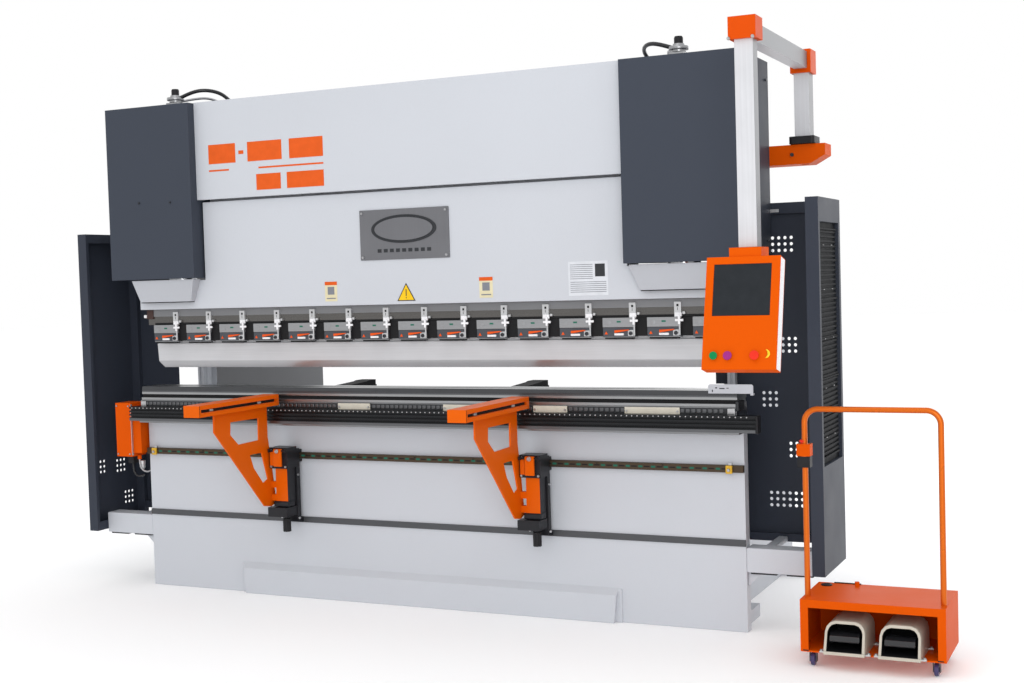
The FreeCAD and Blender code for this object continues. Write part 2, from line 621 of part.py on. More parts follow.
def support_carriage(x):
    """Bearing plate on the two front guides, with the clamp housing and the foot block."""
    post = x + ARM_POST
    plate = box(post - 38, post + 40, -62, -34, 372, 722)
    shoes = [box(post - 38, post + 40, -34, -12, z, z + 14) for z in (GUIDE_Z + 15.5, GUIDE_Z - 29.5)]
    foot_pad = box(post - 38, post + 40, -34, STRIP_FRONT - 0.5, 366, 384)
    housing = box(post - 56, post + 44, -142, -62, 636, 735)
    cavity = box(post - 36, post + 36, -134, -63, 635, 722)
    block = box(post - 70, post + 36, -150, -62, 406, 450)
    block = block.cut(rod(8.0 + FIT, (post, -98, 405), (post, -98, 451)))
    pin = rod(4.0, (post - 50, -152, 722), (post + 44, -152, 722))
    ears = [box(post + a, post + b, -158, -142, 714, 730) for a, b in ((-54, -44), (34, 44))]
    return joined(plate, housing.cut(cavity), block, foot_pad, pin, *(shoes + ears))


def support_arm(x):
    """Welded arm: top bar with a groove, pierced gusset plate and square post."""
    post = x + ARM_POST
    bar = box(x - 42, x + 42, -705, -100, 934, ARM_BAR_TOP)
    groove = box(x + 30, x + 43, -690, -120, 953, 967)
    bar = bar.cut(groove)
    gusset = side_profile([(-548, 940), (-550, 851), (-187, 462), (-134, 453), (-92, 466), (-118, 643),
                           (-144, 787), (-144, 940)], x - 6, x + 2)
    upper_hole = side_profile([(-429, 885), (-212, 883), (-214, 779), (-374, 776), (-433, 827)], x - 7, x + 3)
    lower_hole = side_profile([(-290, 718), (-195, 718), (-152, 587), (-192, 571), (-263, 653)], x - 7, x + 3)
    gusset = gusset.cut(upper_hole).cut(lower_hole)
    column = box(post - 33, post + 33, -130, -64, 472, 650)
    spacers = [box(x + 2, post - 33, -128, -104, z, z + 30) for z in (480.0, 542.0)]
    return joined(bar, gusset, column, *spacers)


def lock_lever(x):
    """Hinged lever on the clamp housing, with its eye on the pin."""
    post = x + ARM_POST
    eye = rod(9.0, (post - 22, -152, 722), (post + 20, -152, 722))
    blade = box(post - 22, post + 20, -160, -150, 648, 722)
    lever = joined(eye, blade)
    return lever.cut(rod(4.0 + FIT, (post - 23, -152, 722), (post + 21, -152, 722)))


def height_knob(x):
    """Fluted knob under the foot block, with its screw stem."""
    post = x + ARM_POST
    knob = rod(19.0, (post, -98, 330), (post, -98, 392))
    for i in range(8):
        angle = i * math.pi / 4
        cx = post + 20.5 * math.cos(angle)
        cy = -98 + 20.5 * math.sin(angle)
        knob = knob.cut(rod(4.0, (cx, cy, 329), (cx, cy, 393)))
    return joined(knob, rod(8.0, (post, -98, 391), (post, -98, 446)))


# ---- pendant arm and pendant ----

def pendant_arm_tubes():
    """Rear post with its pivot spindle, top beam and front post, in one welded bend."""
    rear = box(PIVOT_X - 32, PIVOT_X + 32, PIVOT_Y - 38, PIVOT_Y + 38, 2066, BEAM_TOP - 5)
    beam = box(PIVOT_X - 28, PIVOT_X + 28, POST_Y, PIVOT_Y, BEAM_BOTTOM, BEAM_TOP - 5)
    front = box(PIVOT_X - 30, PIVOT_X + 40, POST_Y - 30, POST_Y + 30, NECK_Z + 1, BEAM_TOP - 5)
    spindle = rod(18.0, (PIVOT_X, PIVOT_Y, 1960), (PIVOT_X, PIVOT_Y, 2040))
    cap = box(PIVOT_X - 54, PIVOT_X + 54, PIVOT_Y - 60, PIVOT_Y + 60, 2034.5, 2066)
    cap = rounded_edges(cap, 14.0, lambda p: abs(p.z - 2050.25) < 1)
    tubes = joined(rear, beam, front, spindle, cap)
    return tubes.cut(rod(12.0 + FIT, (PIVOT_X + 5, POST_Y, NECK_Z), (PIVOT_X + 5, POST_Y, NECK_Z + 60)))


def corner_blocks():
    """Cast corner covers where the beam meets the two posts."""
    front = box(PIVOT_X - 48, PIVOT_X + 56, POST_Y - 48, POST_Y + 50, BEAM_BOTTOM - 2, BEAM_TOP + 5)
    front = front.cut(box(PIVOT_X - 30, PIVOT_X + 40, POST_Y - 30, POST_Y + 30, BEAM_BOTTOM - 3, BEAM_TOP - 5))
    front = front.cut(box(PIVOT_X - 28, PIVOT_X + 28, POST_Y, POST_Y + 60, BEAM_BOTTOM - 3, BEAM_TOP - 5))
    rear = box(PIVOT_X - 44, PIVOT_X + 44, PIVOT_Y - 50, PIVOT_Y + 50, BEAM_BOTTOM - 18, BEAM_TOP + 5)
    rear = rear.cut(box(PIVOT_X - 32, PIVOT_X + 32, PIVOT_Y - 38, PIVOT_Y + 38, BEAM_BOTTOM - 19, BEAM_TOP - 5))
    rear = rear.cut(box(PIVOT_X - 28, PIVOT_X + 28, PIVOT_Y - 60, PIVOT_Y, BEAM_BOTTOM, BEAM_TOP - 5))
    return Part.makeCompound([front, rear])


def tilted(shape):
    """Lean a pendant piece back about its top edge."""
    placed = shape.copy()
    placed.rotate(FreeCAD.Vector(0, PENDANT_TOP_Y, PENDANT_TOP_Z), FreeCAD.Vector(1, 0, 0), -PENDANT_TILT)
    return placed


def pendant_case():
    """Control box with a screen recess and button holes, and the neck that swivels on the post."""
    x0 = PIVOT_X - PENDANT_WIDTH / 2
    x1 = PIVOT_X + PENDANT_WIDTH / 2
    z0 = PENDANT_TOP_Z - PENDANT_HEIGHT
    case = box(x0, x1, PENDANT_TOP_Y, PENDANT_TOP_Y + PENDANT_DEPTH, z0, PENDANT_TOP_Z)
    case = case.cut(box(x0 + 29, x1 - 31, PENDANT_TOP_Y - 1, PENDANT_TOP_Y + 3, z0 + 198, PENDANT_TOP_Z - 27))
    for dx, radius in BUTTONS:
        cx = PIVOT_X + dx
        case = case.cut(rod(radius + 0.5, (cx, PENDANT_TOP_Y - 1, z0 + BUTTON_HEIGHT), (cx, PENDANT_TOP_Y + 22, z0 + BUTTON_HEIGHT)))
    neck = box(PIVOT_X - 55, PIVOT_X + 65, POST_Y - 70, POST_Y + 36, 1530, NECK_Z)
    pin = rod(12.0, (PIVOT_X + 5, POST_Y, NECK_Z - 5), (PIVOT_X + 5, POST_Y, NECK_Z + 55))
    return joined(tilted(case), neck, pin)


def push_button(index, proud, head):
    """Button in its hole: a stem in the case and a head in front of it."""
    dx, radius = BUTTONS[index]
    x = PIVOT_X + dx
    z = PENDANT_TOP_Z - PENDANT_HEIGHT + BUTTON_HEIGHT
    stem = rod(radius, (x, PENDANT_TOP_Y - 2, z), (x, PENDANT_TOP_Y + 16, z))
    cap = rod(head, (x, PENDANT_TOP_Y - proud - 6, z), (x, PENDANT_TOP_Y - proud, z))
    link = rod(radius, (x, PENDANT_TOP_Y - proud, z), (x, PENDANT_TOP_Y - 2, z))
    return tilted(joined(stem, cap, link))


# ---- pedal trolley ----

def trolley_box():
    """Open-fronted steel box with a bent rim, rear axle brackets and a cable gland."""
    t = CART_SHEET
    shell = box(CART_LEFT, CART_RIGHT, CART_FRONT, CART_BACK, CART_BOTTOM, CART_TOP)
    shell = shell.cut(box(CART_LEFT + t, CART_RIGHT - t, CART_FRONT - 1, CART_BACK - t,
                          CART_BOTTOM + t, CART_TOP - t))
    rim = box(CART_LEFT, CART_RIGHT, CART_FRONT, CART_FRONT + t, CART_BOTTOM, CART_TOP)
    rim = rim.cut(box(CART_LEFT + 30, CART_RIGHT - 30, CART_FRONT - 1, CART_FRONT + t + 1,
                      CART_BOTTOM + t, CART_TOP - 30))
    brackets = []
    for x in caster_places():
        for dx in (-16.0, 12.0):
            brackets.append(box(x + dx, x + dx + 4, rear_wheel_y() - 14, rear_wheel_y() + 14, 14, CART_BOTTOM))
    gland = rod(9.0, (2030, CART_BACK - 30, CART_TOP), (2030, CART_BACK - 30, CART_TOP + 16))
    body = joined(shell, rim, gland, *brackets)
    body = body.cut(rod(4.0 + FIT, (CART_LEFT, rear_wheel_y(), WHEEL_RADIUS), (CART_RIGHT, rear_wheel_y(), WHEEL_RADIUS)))
    for x in caster_places():
        body = body.cut(rod(5.0 + FIT, (x, front_caster_y(), CART_BOTTOM - 1), (x, front_caster_y(), CART_BOTTOM + 5)))
    return body


def caster_places():
    """The two X places of the wheels under the trolley."""
    return (CART_LEFT + CASTER_INSET, CART_RIGHT - CASTER_INSET)


def rear_wheel_y():
    """Line of the rear axle."""
    return CART_BACK - 45


def front_caster_y():
    """Line of the front swivel stems."""
    return CART_FRONT + 50


def trolley_handle():
    """Bent tube handle standing on the trolley, with the stop box clamped to its left leg."""
    left = CART_LEFT + 16
    right = CART_RIGHT - 16
    bend = 52.0
    top = HANDLE_TOP - HANDLE_RADIUS
    y = HANDLE_Y
    corner_left = FreeCAD.Vector(left + bend * (1 - math.cos(math.pi / 4)), y,
                                 top - bend * (1 - math.sin(math.pi / 4)))
    corner_right = FreeCAD.Vector(right - bend * (1 - math.cos(math.pi / 4)), y,
                                  top - bend * (1 - math.sin(math.pi / 4)))
    path = Part.Wire([
        Part.LineSegment(FreeCAD.Vector(left, y, CART_TOP), FreeCAD.Vector(left, y, top - bend)).toShape(),
        Part.Arc(FreeCAD.Vector(left, y, top - bend), corner_left, FreeCAD.Vector(left + bend, y, top)).toShape(),
        Part.LineSegment(FreeCAD.Vector(left + bend, y, top), FreeCAD.Vector(right - bend, y, top)).toShape(),
        Part.Arc(FreeCAD.Vector(right - bend, y, top), corner_right,
                 FreeCAD.Vector(right, y, top - bend)).toShape(),
        Part.LineSegment(FreeCAD.Vector(right, y, top - bend), FreeCAD.Vector(right, y, CART_TOP)).toShape()])
    ring = Part.Wire(Part.makeCircle(HANDLE_RADIUS, FreeCAD.Vector(left, y, CART_TOP), FreeCAD.Vector(0, 0, 1)))
    tube = path.makePipeShell([ring], True, False, 2)
    upper = box(left - 27, left + 25, y - 22, y + 20, 796, 842)
    lower = box(left - 25, left + 23, y - 20, y + 20, 752, 794)
    collar = rod(20.0, (left, y, 792), (left, y, 798))
    return joined(tube, upper, lower, collar)


def pedal_hoods():
    """Cast foot guards: rounded roof, two cheeks, back wall and floor plate."""
    hoods = []
    for x in PEDALS:
        roof = [(x - 76, 70), (x - 74, 145), (x - 69, 163), (x - 57, 177), (x - 38, 184), (x + 38, 184),
                (x + 57, 177), (x + 69, 163), (x + 74, 145), (x + 76, 70)]
        inside = [(x - 66, 76), (x - 65, 144), (x - 60, 158), (x - 50, 169), (x - 34, 174), (x + 34, 174),
                  (x + 50, 169), (x + 60, 158), (x + 65, 144), (x + 66, 76)]
        hood = front_profile(roof, CART_FRONT - 38, -250)
        hood = hood.cut(front_profile(inside, CART_FRONT - 39, -262))
        slope = side_profile([(CART_FRONT - 39, 66), (CART_FRONT - 39, 205), (CART_FRONT + 12, 205)],
                             x - 90, x + 90)
        hood = hood.cut(slope.cut(box(x - 90, x + 90, CART_FRONT - 60, -200, 0, 76)))
        foot = box(x - 76, x + 76, CART_FRONT - 38, -250, 64, 76)
        hood = joined(hood, foot)
        pins = rod(4.0, (x - 67, -285, 100), (x + 67, -285, 100))
        hoods.append(joined(hood, pins))
    return Part.makeCompound(hoods)


def pedal(x):
    """Foot plate hinged at its heel end on the hood's pin."""
    plate = side_profile([(-452, 110), (-456, 118), (-450, 132), (-436, 139), (-410, 142), (-330, 138),
                          (-292, 126), (-276, 112), (-276, 90), (-294, 90), (-300, 104)], x - 55, x + 55)
    return plate.cut(rod(4.0 + FIT, (x - 56, -285, 100), (x + 56, -285, 100)))


def caster_fork(x):
    """Front swivel fork with its stem and axle."""
    y = front_caster_y()
    axle_y = y - 12
    top = box(x - 14, x + 14, y - 22, y + 14, 52, CART_BOTTOM - 0.5)
    stem = rod(5.0, (x, y, CART_BOTTOM - 1), (x, y, CART_BOTTOM + 4))
    cheeks = [box(x + a, x + a + 3, axle_y - 10, axle_y + 12, 14, 53) for a in (-14.0, 11.0)]
    axle = rod(3.5, (x - 14, axle_y, WHEEL_RADIUS), (x + 14, axle_y, WHEEL_RADIUS))
    return joined(top, stem, axle, *cheeks)


def wheel(x, y, bore):
    """Plain wheel with a hub on each side and rounded treads."""
    tread = rod(WHEEL_RADIUS, (x - WHEEL_HALF, y, WHEEL_RADIUS), (x + WHEEL_HALF, y, WHEEL_RADIUS))
    tread = rounded_edges(tread, 3.0, lambda p: abs(abs(p.x - x) - WHEEL_HALF) < 0.5)
    hub = rod(9.0, (x - 10, y, WHEEL_RADIUS), (x + 10, y, WHEEL_RADIUS))
    whole = joined(tread, hub)
    if bore:
        whole = whole.cut(rod(3.5 + FIT, (x - 11, y, WHEEL_RADIUS), (x + 11, y, WHEEL_RADIUS)))
    return whole


def rear_wheels():
    """Two rear wheels fast on one axle that turns in the trolley's brackets."""
    left, right = caster_places()
    y = rear_wheel_y()
    axle = rod(4.0, (left - 20, y, WHEEL_RADIUS), (right + 20, y, WHEEL_RADIUS))
    return joined(wheel(left, y, False), wheel(right, y, False), axle)


# ---- cabinet door ----

def cabinet_door():
    """Door of the cabinet with hinge knuckles, a turned-in rim and a handle."""
    y1 = CABINET_DEPTH
    z0 = CABINET_BOTTOM
    z1 = CABINET_TOP
    leaf = box(0, CABINET_WIDTH - 3, y1 + 1, y1 + 19, z0, z1)
    leaf = leaf.cut(box(12, CABINET_WIDTH - 15, y1, y1 + 16, z0 + 12, z1 - 12))
    cx = CABINET_WIDTH + 10
    cy = y1 + 10
    knuckles = []
    for z in CABINET_HINGES:
        lug = box(CABINET_WIDTH - 4, cx, y1 + 12, y1 + 18, z + 61, z + 100)
        knuckle = rod(8.0, (cx, cy, z + 61), (cx, cy, z + 100))
        knuckles.append(joined(lug, knuckle))
    handle = box(26, 46, y1 + 18, y1 + 44, 1120, 1260)
    handle = handle.cut(box(25, 47, y1 + 19, y1 + 34, 1140, 1240))
    door = joined(leaf, handle, *knuckles)
    for z in CABINET_HINGES:
        door = door.cut(rod(3.0 + FIT, (cx, cy, z + 60.5), (cx, cy, z + 101)))
    return hung_on_left(door)


right_frame = side_frame()
save("right_side_frame", right_frame)
save("left_side_frame", mirrored(right_frame))
save("bed_plate", bed_plate())
save("front_guides", front_guides())
save("support_rail", support_rail())
save("crowning_table", crowning_table())
save("lower_die", Part.makeCompound([lower_die(), die_holder()]))
save("die_end_bracket", die_end_bracket())
save("rear_cross_beam", rear_cross_beam())
save("oil_tank", oil_tank())
save("hydraulic_unit", hydraulic_unit())
save("cylinders", both_sides(cylinder()))
save("valves_and_hoses", both_sides(joined(prefill_valve(), *valve_hoses())))
save("cylinder_covers", both_sides(cylinder_cover()))
save("upper_front_cover", upper_front_cover())
save("crowning_motor_box", crowning_motor_box())
save("crowning_motor_cable", crowning_motor_cable())
save("guard_right", guard(1))
save("guard_left", guard(-1))
save("guard_beams", both_sides(guard_beam()))
save("pendant_bracket", pendant_bracket())
save("electrical_cabinet", electrical_cabinet())
save("gauge_rails", gauge_rails())
save("ram_plate", ram_plate())
save("ram_front_panel", ram_front_panel())
save("rod_covers", both_sides(rod_cover()))
save("piston_rods", both_sides(piston_rod()))
save("clamp_rail", clamp_rail())
save("tool_clamps", tool_clamps())
save("clamp_levers", clamp_levers())
save("upper_punch", upper_punch())
save("gauge_carriage", gauge_carriage())
save("gauge_beam", gauge_beam())
for name, x in (("left", FINGER_LEFT), ("right", FINGER_RIGHT)):
    save("gauge_finger_" + name, gauge_finger(x))
for name, x in (("left", ARM_LEFT), ("right", ARM_RIGHT)):
    save("support_carriage_" + name, support_carriage(x))
    save("support_arm_" + name, support_arm(x))
    save("lock_lever_" + name, lock_lever(x))
    save("height_knob_" + name, height_knob(x))
save("pendant_arm_tubes", pendant_arm_tubes())
save("corner_blocks", corner_blocks())
save("pendant_case", pendant_case())
save("start_button", push_button(0, 6.0, 15.0))
save("reset_button", push_button(1, 6.0, 16.0))
save("emergency_stop", push_button(2, 12.0, 17.0))
save("trolley_box", trolley_box())
save("trolley_handle", trolley_handle())
save("pedal_hoods", pedal_hoods())
for name, x in (("left", PEDALS[0]), ("right", PEDALS[1])):
    save("pedal_" + name, pedal(x))
for name, x in zip(("left", "right"), caster_places()):
    save("caster_fork_" + name, caster_fork(x))
    save("front_wheel_" + name, wheel(x, front_caster_y() - 12, True))
save("rear_wheels", rear_wheels())
save("cabinet_door", cabinet_door())
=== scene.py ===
import json
import math

import bpy
from mathutils import Matrix, Vector

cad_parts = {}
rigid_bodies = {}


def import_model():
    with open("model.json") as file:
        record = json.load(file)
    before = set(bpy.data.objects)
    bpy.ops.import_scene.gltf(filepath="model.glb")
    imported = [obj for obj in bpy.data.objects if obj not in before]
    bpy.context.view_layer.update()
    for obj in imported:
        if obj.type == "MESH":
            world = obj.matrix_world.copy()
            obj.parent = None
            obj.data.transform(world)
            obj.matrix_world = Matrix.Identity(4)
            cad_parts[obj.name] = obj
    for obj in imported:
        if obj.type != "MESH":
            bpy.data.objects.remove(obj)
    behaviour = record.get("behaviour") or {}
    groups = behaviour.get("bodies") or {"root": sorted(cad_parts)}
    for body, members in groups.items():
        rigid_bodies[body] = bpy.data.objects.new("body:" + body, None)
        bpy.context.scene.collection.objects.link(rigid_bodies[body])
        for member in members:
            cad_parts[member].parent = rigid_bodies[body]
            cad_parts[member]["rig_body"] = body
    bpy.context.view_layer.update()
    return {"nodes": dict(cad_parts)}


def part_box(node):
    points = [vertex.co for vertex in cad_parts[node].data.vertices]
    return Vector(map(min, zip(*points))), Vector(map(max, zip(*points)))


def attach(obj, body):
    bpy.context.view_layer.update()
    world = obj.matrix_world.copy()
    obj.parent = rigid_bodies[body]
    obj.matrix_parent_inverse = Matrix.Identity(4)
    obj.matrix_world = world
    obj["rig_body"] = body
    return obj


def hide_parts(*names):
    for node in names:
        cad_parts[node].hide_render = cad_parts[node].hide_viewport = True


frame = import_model()


# ---- camera, floor and studio light ----
# The camera stands front right of the machine at chest height, turned a little to the left.
# The floor and the air are plain white, with large soft lamps at the front right, above and behind.
camera_place = Vector((3.15036, -5.6278, 1.50118))
camera_yaw = math.radians(25.23)
camera_pitch = math.radians(-2.57)
camera_roll = math.radians(-1.71)
level = Vector((math.cos(camera_yaw), math.sin(camera_yaw), 0))
ahead = Vector((-math.sin(camera_yaw) * math.cos(camera_pitch),
                math.cos(camera_yaw) * math.cos(camera_pitch), math.sin(camera_pitch)))
upright = level.cross(ahead)
right = math.cos(camera_roll) * level + math.sin(camera_roll) * upright
top = -math.sin(camera_roll) * level + math.cos(camera_roll) * upright
lens = bpy.data.cameras.new("camera")
lens.sensor_width = 36
lens.lens = 49.2
lens.clip_end = 100
camera = bpy.data.objects.new("camera", lens)
camera.matrix_world = Matrix.Translation(camera_place) @ Matrix((right, top, -ahead)).transposed().to_4x4()
bpy.context.scene.collection.objects.link(camera)
bpy.context.scene.camera = camera
bpy.context.scene.view_settings.view_transform = "Standard"

bpy.ops.object.select_all(action="DESELECT")
bpy.ops.mesh.primitive_plane_add(size=80, location=(0, 0, -0.0005))
floor = bpy.context.object
floor.name = "studio_floor"
floor_paint = bpy.data.materials.new("studio_floor")
floor_paint.use_nodes = True
floor_shader = floor_paint.node_tree.nodes["Principled BSDF"]
floor_shader.label = "plain white floor"
floor_shader.inputs["Base Color"].default_value = (0.975, 0.975, 0.98, 1)
floor_shader.inputs["Roughness"].default_value = 0.9
floor_shader.inputs["Emission Color"].default_value = (1, 1, 1, 1)
floor_shader.inputs["Emission Strength"].default_value = 0.05
floor.data.materials.append(floor_paint)

sky = bpy.data.worlds.new("studio")
sky.use_nodes = True
sky.node_tree.nodes["Background"].inputs["Color"].default_value = (1, 1, 1, 1)
sky.node_tree.nodes["Background"].inputs["Strength"].default_value = 1.0
bpy.context.scene.world = sky

for lamp_name, place, aim, width, power in (
        ("front_soft_box", (4.2, -7.5, 2.6), (0.3, 0.0, 1.2), 3.6, 150),
        ("high_soft_box", (0.5, -4.0, 6.0), (0.0, 0.0, 1.2), 4.0, 40),
        ("rear_soft_box", (1.0, 7.0, 4.5), (0.0, 0.5, 1.2), 5.0, 110)):
    lamp = bpy.data.lights.new(lamp_name, "AREA")
    lamp.size = width
    lamp.energy = power
    holder = bpy.data.objects.new(lamp_name, lamp)
    holder.location = place
    holder.rotation_euler = (Vector(aim) - Vector(place)).to_track_quat("-Z", "Y").to_euler()
    bpy.context.scene.collection.objects.link(holder)


# ---- bed, side plates and welded beams ----
# The bed, the two C-shaped side plates and the beams are flame-cut steel plate, welded together,
# then baked with a satin light grey powder coat that softens their edges.
def powder_coat(name, colour, roughness, grain, gloss=0.0, metal=0.0, shine=0.16):
    """Baked powder coat: slow tone drift, fine specks, orange peel and faint wipe marks."""
    material = bpy.data.materials.new(name)
    material.use_nodes = True
    nodes = material.node_tree.nodes
    links = material.node_tree.links
    nodes.clear()
    place = nodes.new("ShaderNodeTexCoord")
    place.label = "place on the machine"
    drift = nodes.new("ShaderNodeTexNoise")
    drift.label = "slow tone drift"
    drift.inputs["Scale"].default_value = 1.1
    drift.inputs["Detail"].default_value = 3
    tone = nodes.new("ShaderNodeMix")
    tone.label = "drifted colour"
    tone.data_type = "RGBA"
    tone.inputs["A"].default_value = (*[0.94 * c for c in colour], 1)
    tone.inputs["B"].default_value = (*[min(1.0, 1.05 * c) for c in colour], 1)
    speck = nodes.new("ShaderNodeTexNoise")
    speck.label = "pigment specks"
    speck.inputs["Scale"].default_value = 420
    speck.inputs["Detail"].default_value = 2
    few = nodes.new("ShaderNodeMapRange")
    few.label = "only a few specks"
    few.inputs["From Min"].default_value = 0.56
    few.inputs["From Max"].default_value = 0.75
    few.inputs["To Max"].default_value = 0.45
    flecked = nodes.new("ShaderNodeMix")
    flecked.label = "specked colour"
    flecked.data_type = "RGBA"
    flecked.inputs["B"].default_value = (*[0.84 * c for c in colour], 1)
    peel = nodes.new("ShaderNodeTexNoise")
    peel.label = "orange peel"
    peel.inputs["Scale"].default_value = grain
    peel.inputs["Detail"].default_value = 1.5
    bump = nodes.new("ShaderNodeBump")
    bump.label = "peel relief"
    bump.inputs["Strength"].default_value = 0.14
    bump.inputs["Distance"].default_value = 0.0006
    wipe = nodes.new("ShaderNodeTexNoise")
    wipe.label = "wipe marks"
    wipe.inputs["Scale"].default_value = 6
    wipe.inputs["Detail"].default_value = 5
    polish = nodes.new("ShaderNodeMapRange")
    polish.label = "uneven polish"
    polish.inputs["To Min"].default_value = roughness - 0.07
    polish.inputs["To Max"].default_value = roughness + 0.09
    shader = nodes.new("ShaderNodeBsdfPrincipled")
    shader.label = "cured powder coat"
    shader.inputs["Specular IOR Level"].default_value = shine
    shader.inputs["Metallic"].default_value = metal
    shader.inputs["Coat Weight"].default_value = gloss
    shader.inputs["Coat Roughness"].default_value = 0.12
    out = nodes.new("ShaderNodeOutputMaterial")
    colour_box = nodes.new("NodeFrame")
    colour_box.label = "colour"
    surface_box = nodes.new("NodeFrame")
    surface_box.label = "peel and polish"
    for node in (drift, tone, speck, few, flecked):
        node.parent = colour_box
    for node in (peel, bump, wipe, polish):
        node.parent = surface_box
    for texture in (drift, speck, peel, wipe):
        links.new(place.outputs["Object"], texture.inputs["Vector"])
    links.new(drift.outputs["Fac"], tone.inputs["Factor"])
    links.new(speck.outputs["Fac"], few.inputs["Value"])
    links.new(few.outputs["Result"], flecked.inputs["Factor"])
    links.new(tone.outputs["Result"], flecked.inputs["A"])
    links.new(flecked.outputs["Result"], shader.inputs["Base Color"])
    links.new(peel.outputs["Fac"], bump.inputs["Height"])
    links.new(bump.outputs["Normal"], shader.inputs["Normal"])
    links.new(wipe.outputs["Fac"], polish.inputs["Value"])
    links.new(polish.outputs["Result"], shader.inputs["Roughness"])
    links.new(shader.outputs["BSDF"], out.inputs["Surface"])
    for step, node in enumerate((place, drift, speck, few, tone, flecked, peel, bump, wipe,
                                 polish, shader, out)):
        node.location = (190 * step, -130 * (step % 3))
    return material


def only(piece):
    """Select one piece and nothing else."""
    bpy.ops.object.select_all(action="DESELECT")
    piece.select_set(True)
    bpy.context.view_layer.objects.active = piece


def smoothed(piece):
    """Shade the curved faces smooth and keep the flat ones flat."""
    only(piece)
    bpy.ops.object.shade_smooth_by_angle(angle=math.radians(38))
    flat = piece.modifiers.new("flat_faces_stay_flat", "WEIGHTED_NORMAL")
    flat.keep_sharp = True
    bpy.ops.object.modifier_apply(modifier=flat.name)


def rounded(piece, edge, steps=2):
    """Break the sharp edges of a piece and smooth its shading."""
    only(piece)
    bevel = piece.modifiers.new("broken_edges", "BEVEL")
    bevel.width = edge
    bevel.segments = steps
    bevel.limit_method = "ANGLE"
    bevel.angle_limit = math.radians(32)
    bpy.ops.object.modifier_apply(modifier=bevel.name)
    smoothed(piece)


def fitted(piece, finish, body):
    """Give a piece its finish and the body that it is fixed to."""
    piece.data.materials.clear()
    piece.data.materials.append(finish)
    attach(piece, body)
    return piece


def finished_copy(node, finish, edge=0.0, steps=2):
    """The node's own shape with its edges broken and its finish on; it stands for the node."""
    source = frame["nodes"][node]
    piece = bpy.data.objects.new(node + "_finished", source.data.copy())
    bpy.context.scene.collection.objects.link(piece)
    only(piece)
    bpy.ops.object.mode_set(mode="EDIT")
    bpy.ops.mesh.select_all(action="SELECT")
    bpy.ops.mesh.remove_doubles(threshold=0.00002)
    bpy.ops.mesh.dissolve_limited(angle_limit=math.radians(1.5))
    bpy.ops.object.mode_set(mode="OBJECT")
    if edge:
        rounded(piece, edge, steps)
    else:
        smoothed(piece)
    fitted(piece, finish, source["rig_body"])
    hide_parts(node)
    return piece


def painted_node(node, finish):
    """Finish on a node that keeps its own shape."""
    piece = frame["nodes"][node]
    piece.data.materials.clear()
    piece.data.materials.append(finish)
    return piece


def coloured(piece, finish, test):
    """Put another finish on the faces whose centre and normal pass the test."""
    piece.data.materials.append(finish)
    index = len(piece.data.materials) - 1
    for face in piece.data.polygons:
        if test(face.center, face.normal):
            face.material_index = index


machine_grey = powder_coat("machine_grey", (0.52, 0.54, 0.58), 0.42, 700)
throat_shade_grey = powder_coat("throat_shade_grey", (0.17, 0.173, 0.18), 0.5, 500)
for node, edge in (("bed_plate", 0.002), ("rear_cross_beam", 0.004), ("guard_beams", 0.004),
                   ("gauge_rails", 0.002)):
    finished_copy(node, machine_grey, edge)
# The inner faces of both side plates get a darker grey, which is painted shade in the throat.
for node in ("left_side_frame", "right_side_frame"):
    plate = painted_node(node, machine_grey)
    coloured(plate, throat_shade_grey, lambda centre, normal: abs(centre.x) < 1.375 and abs(normal.x) > 0.9)


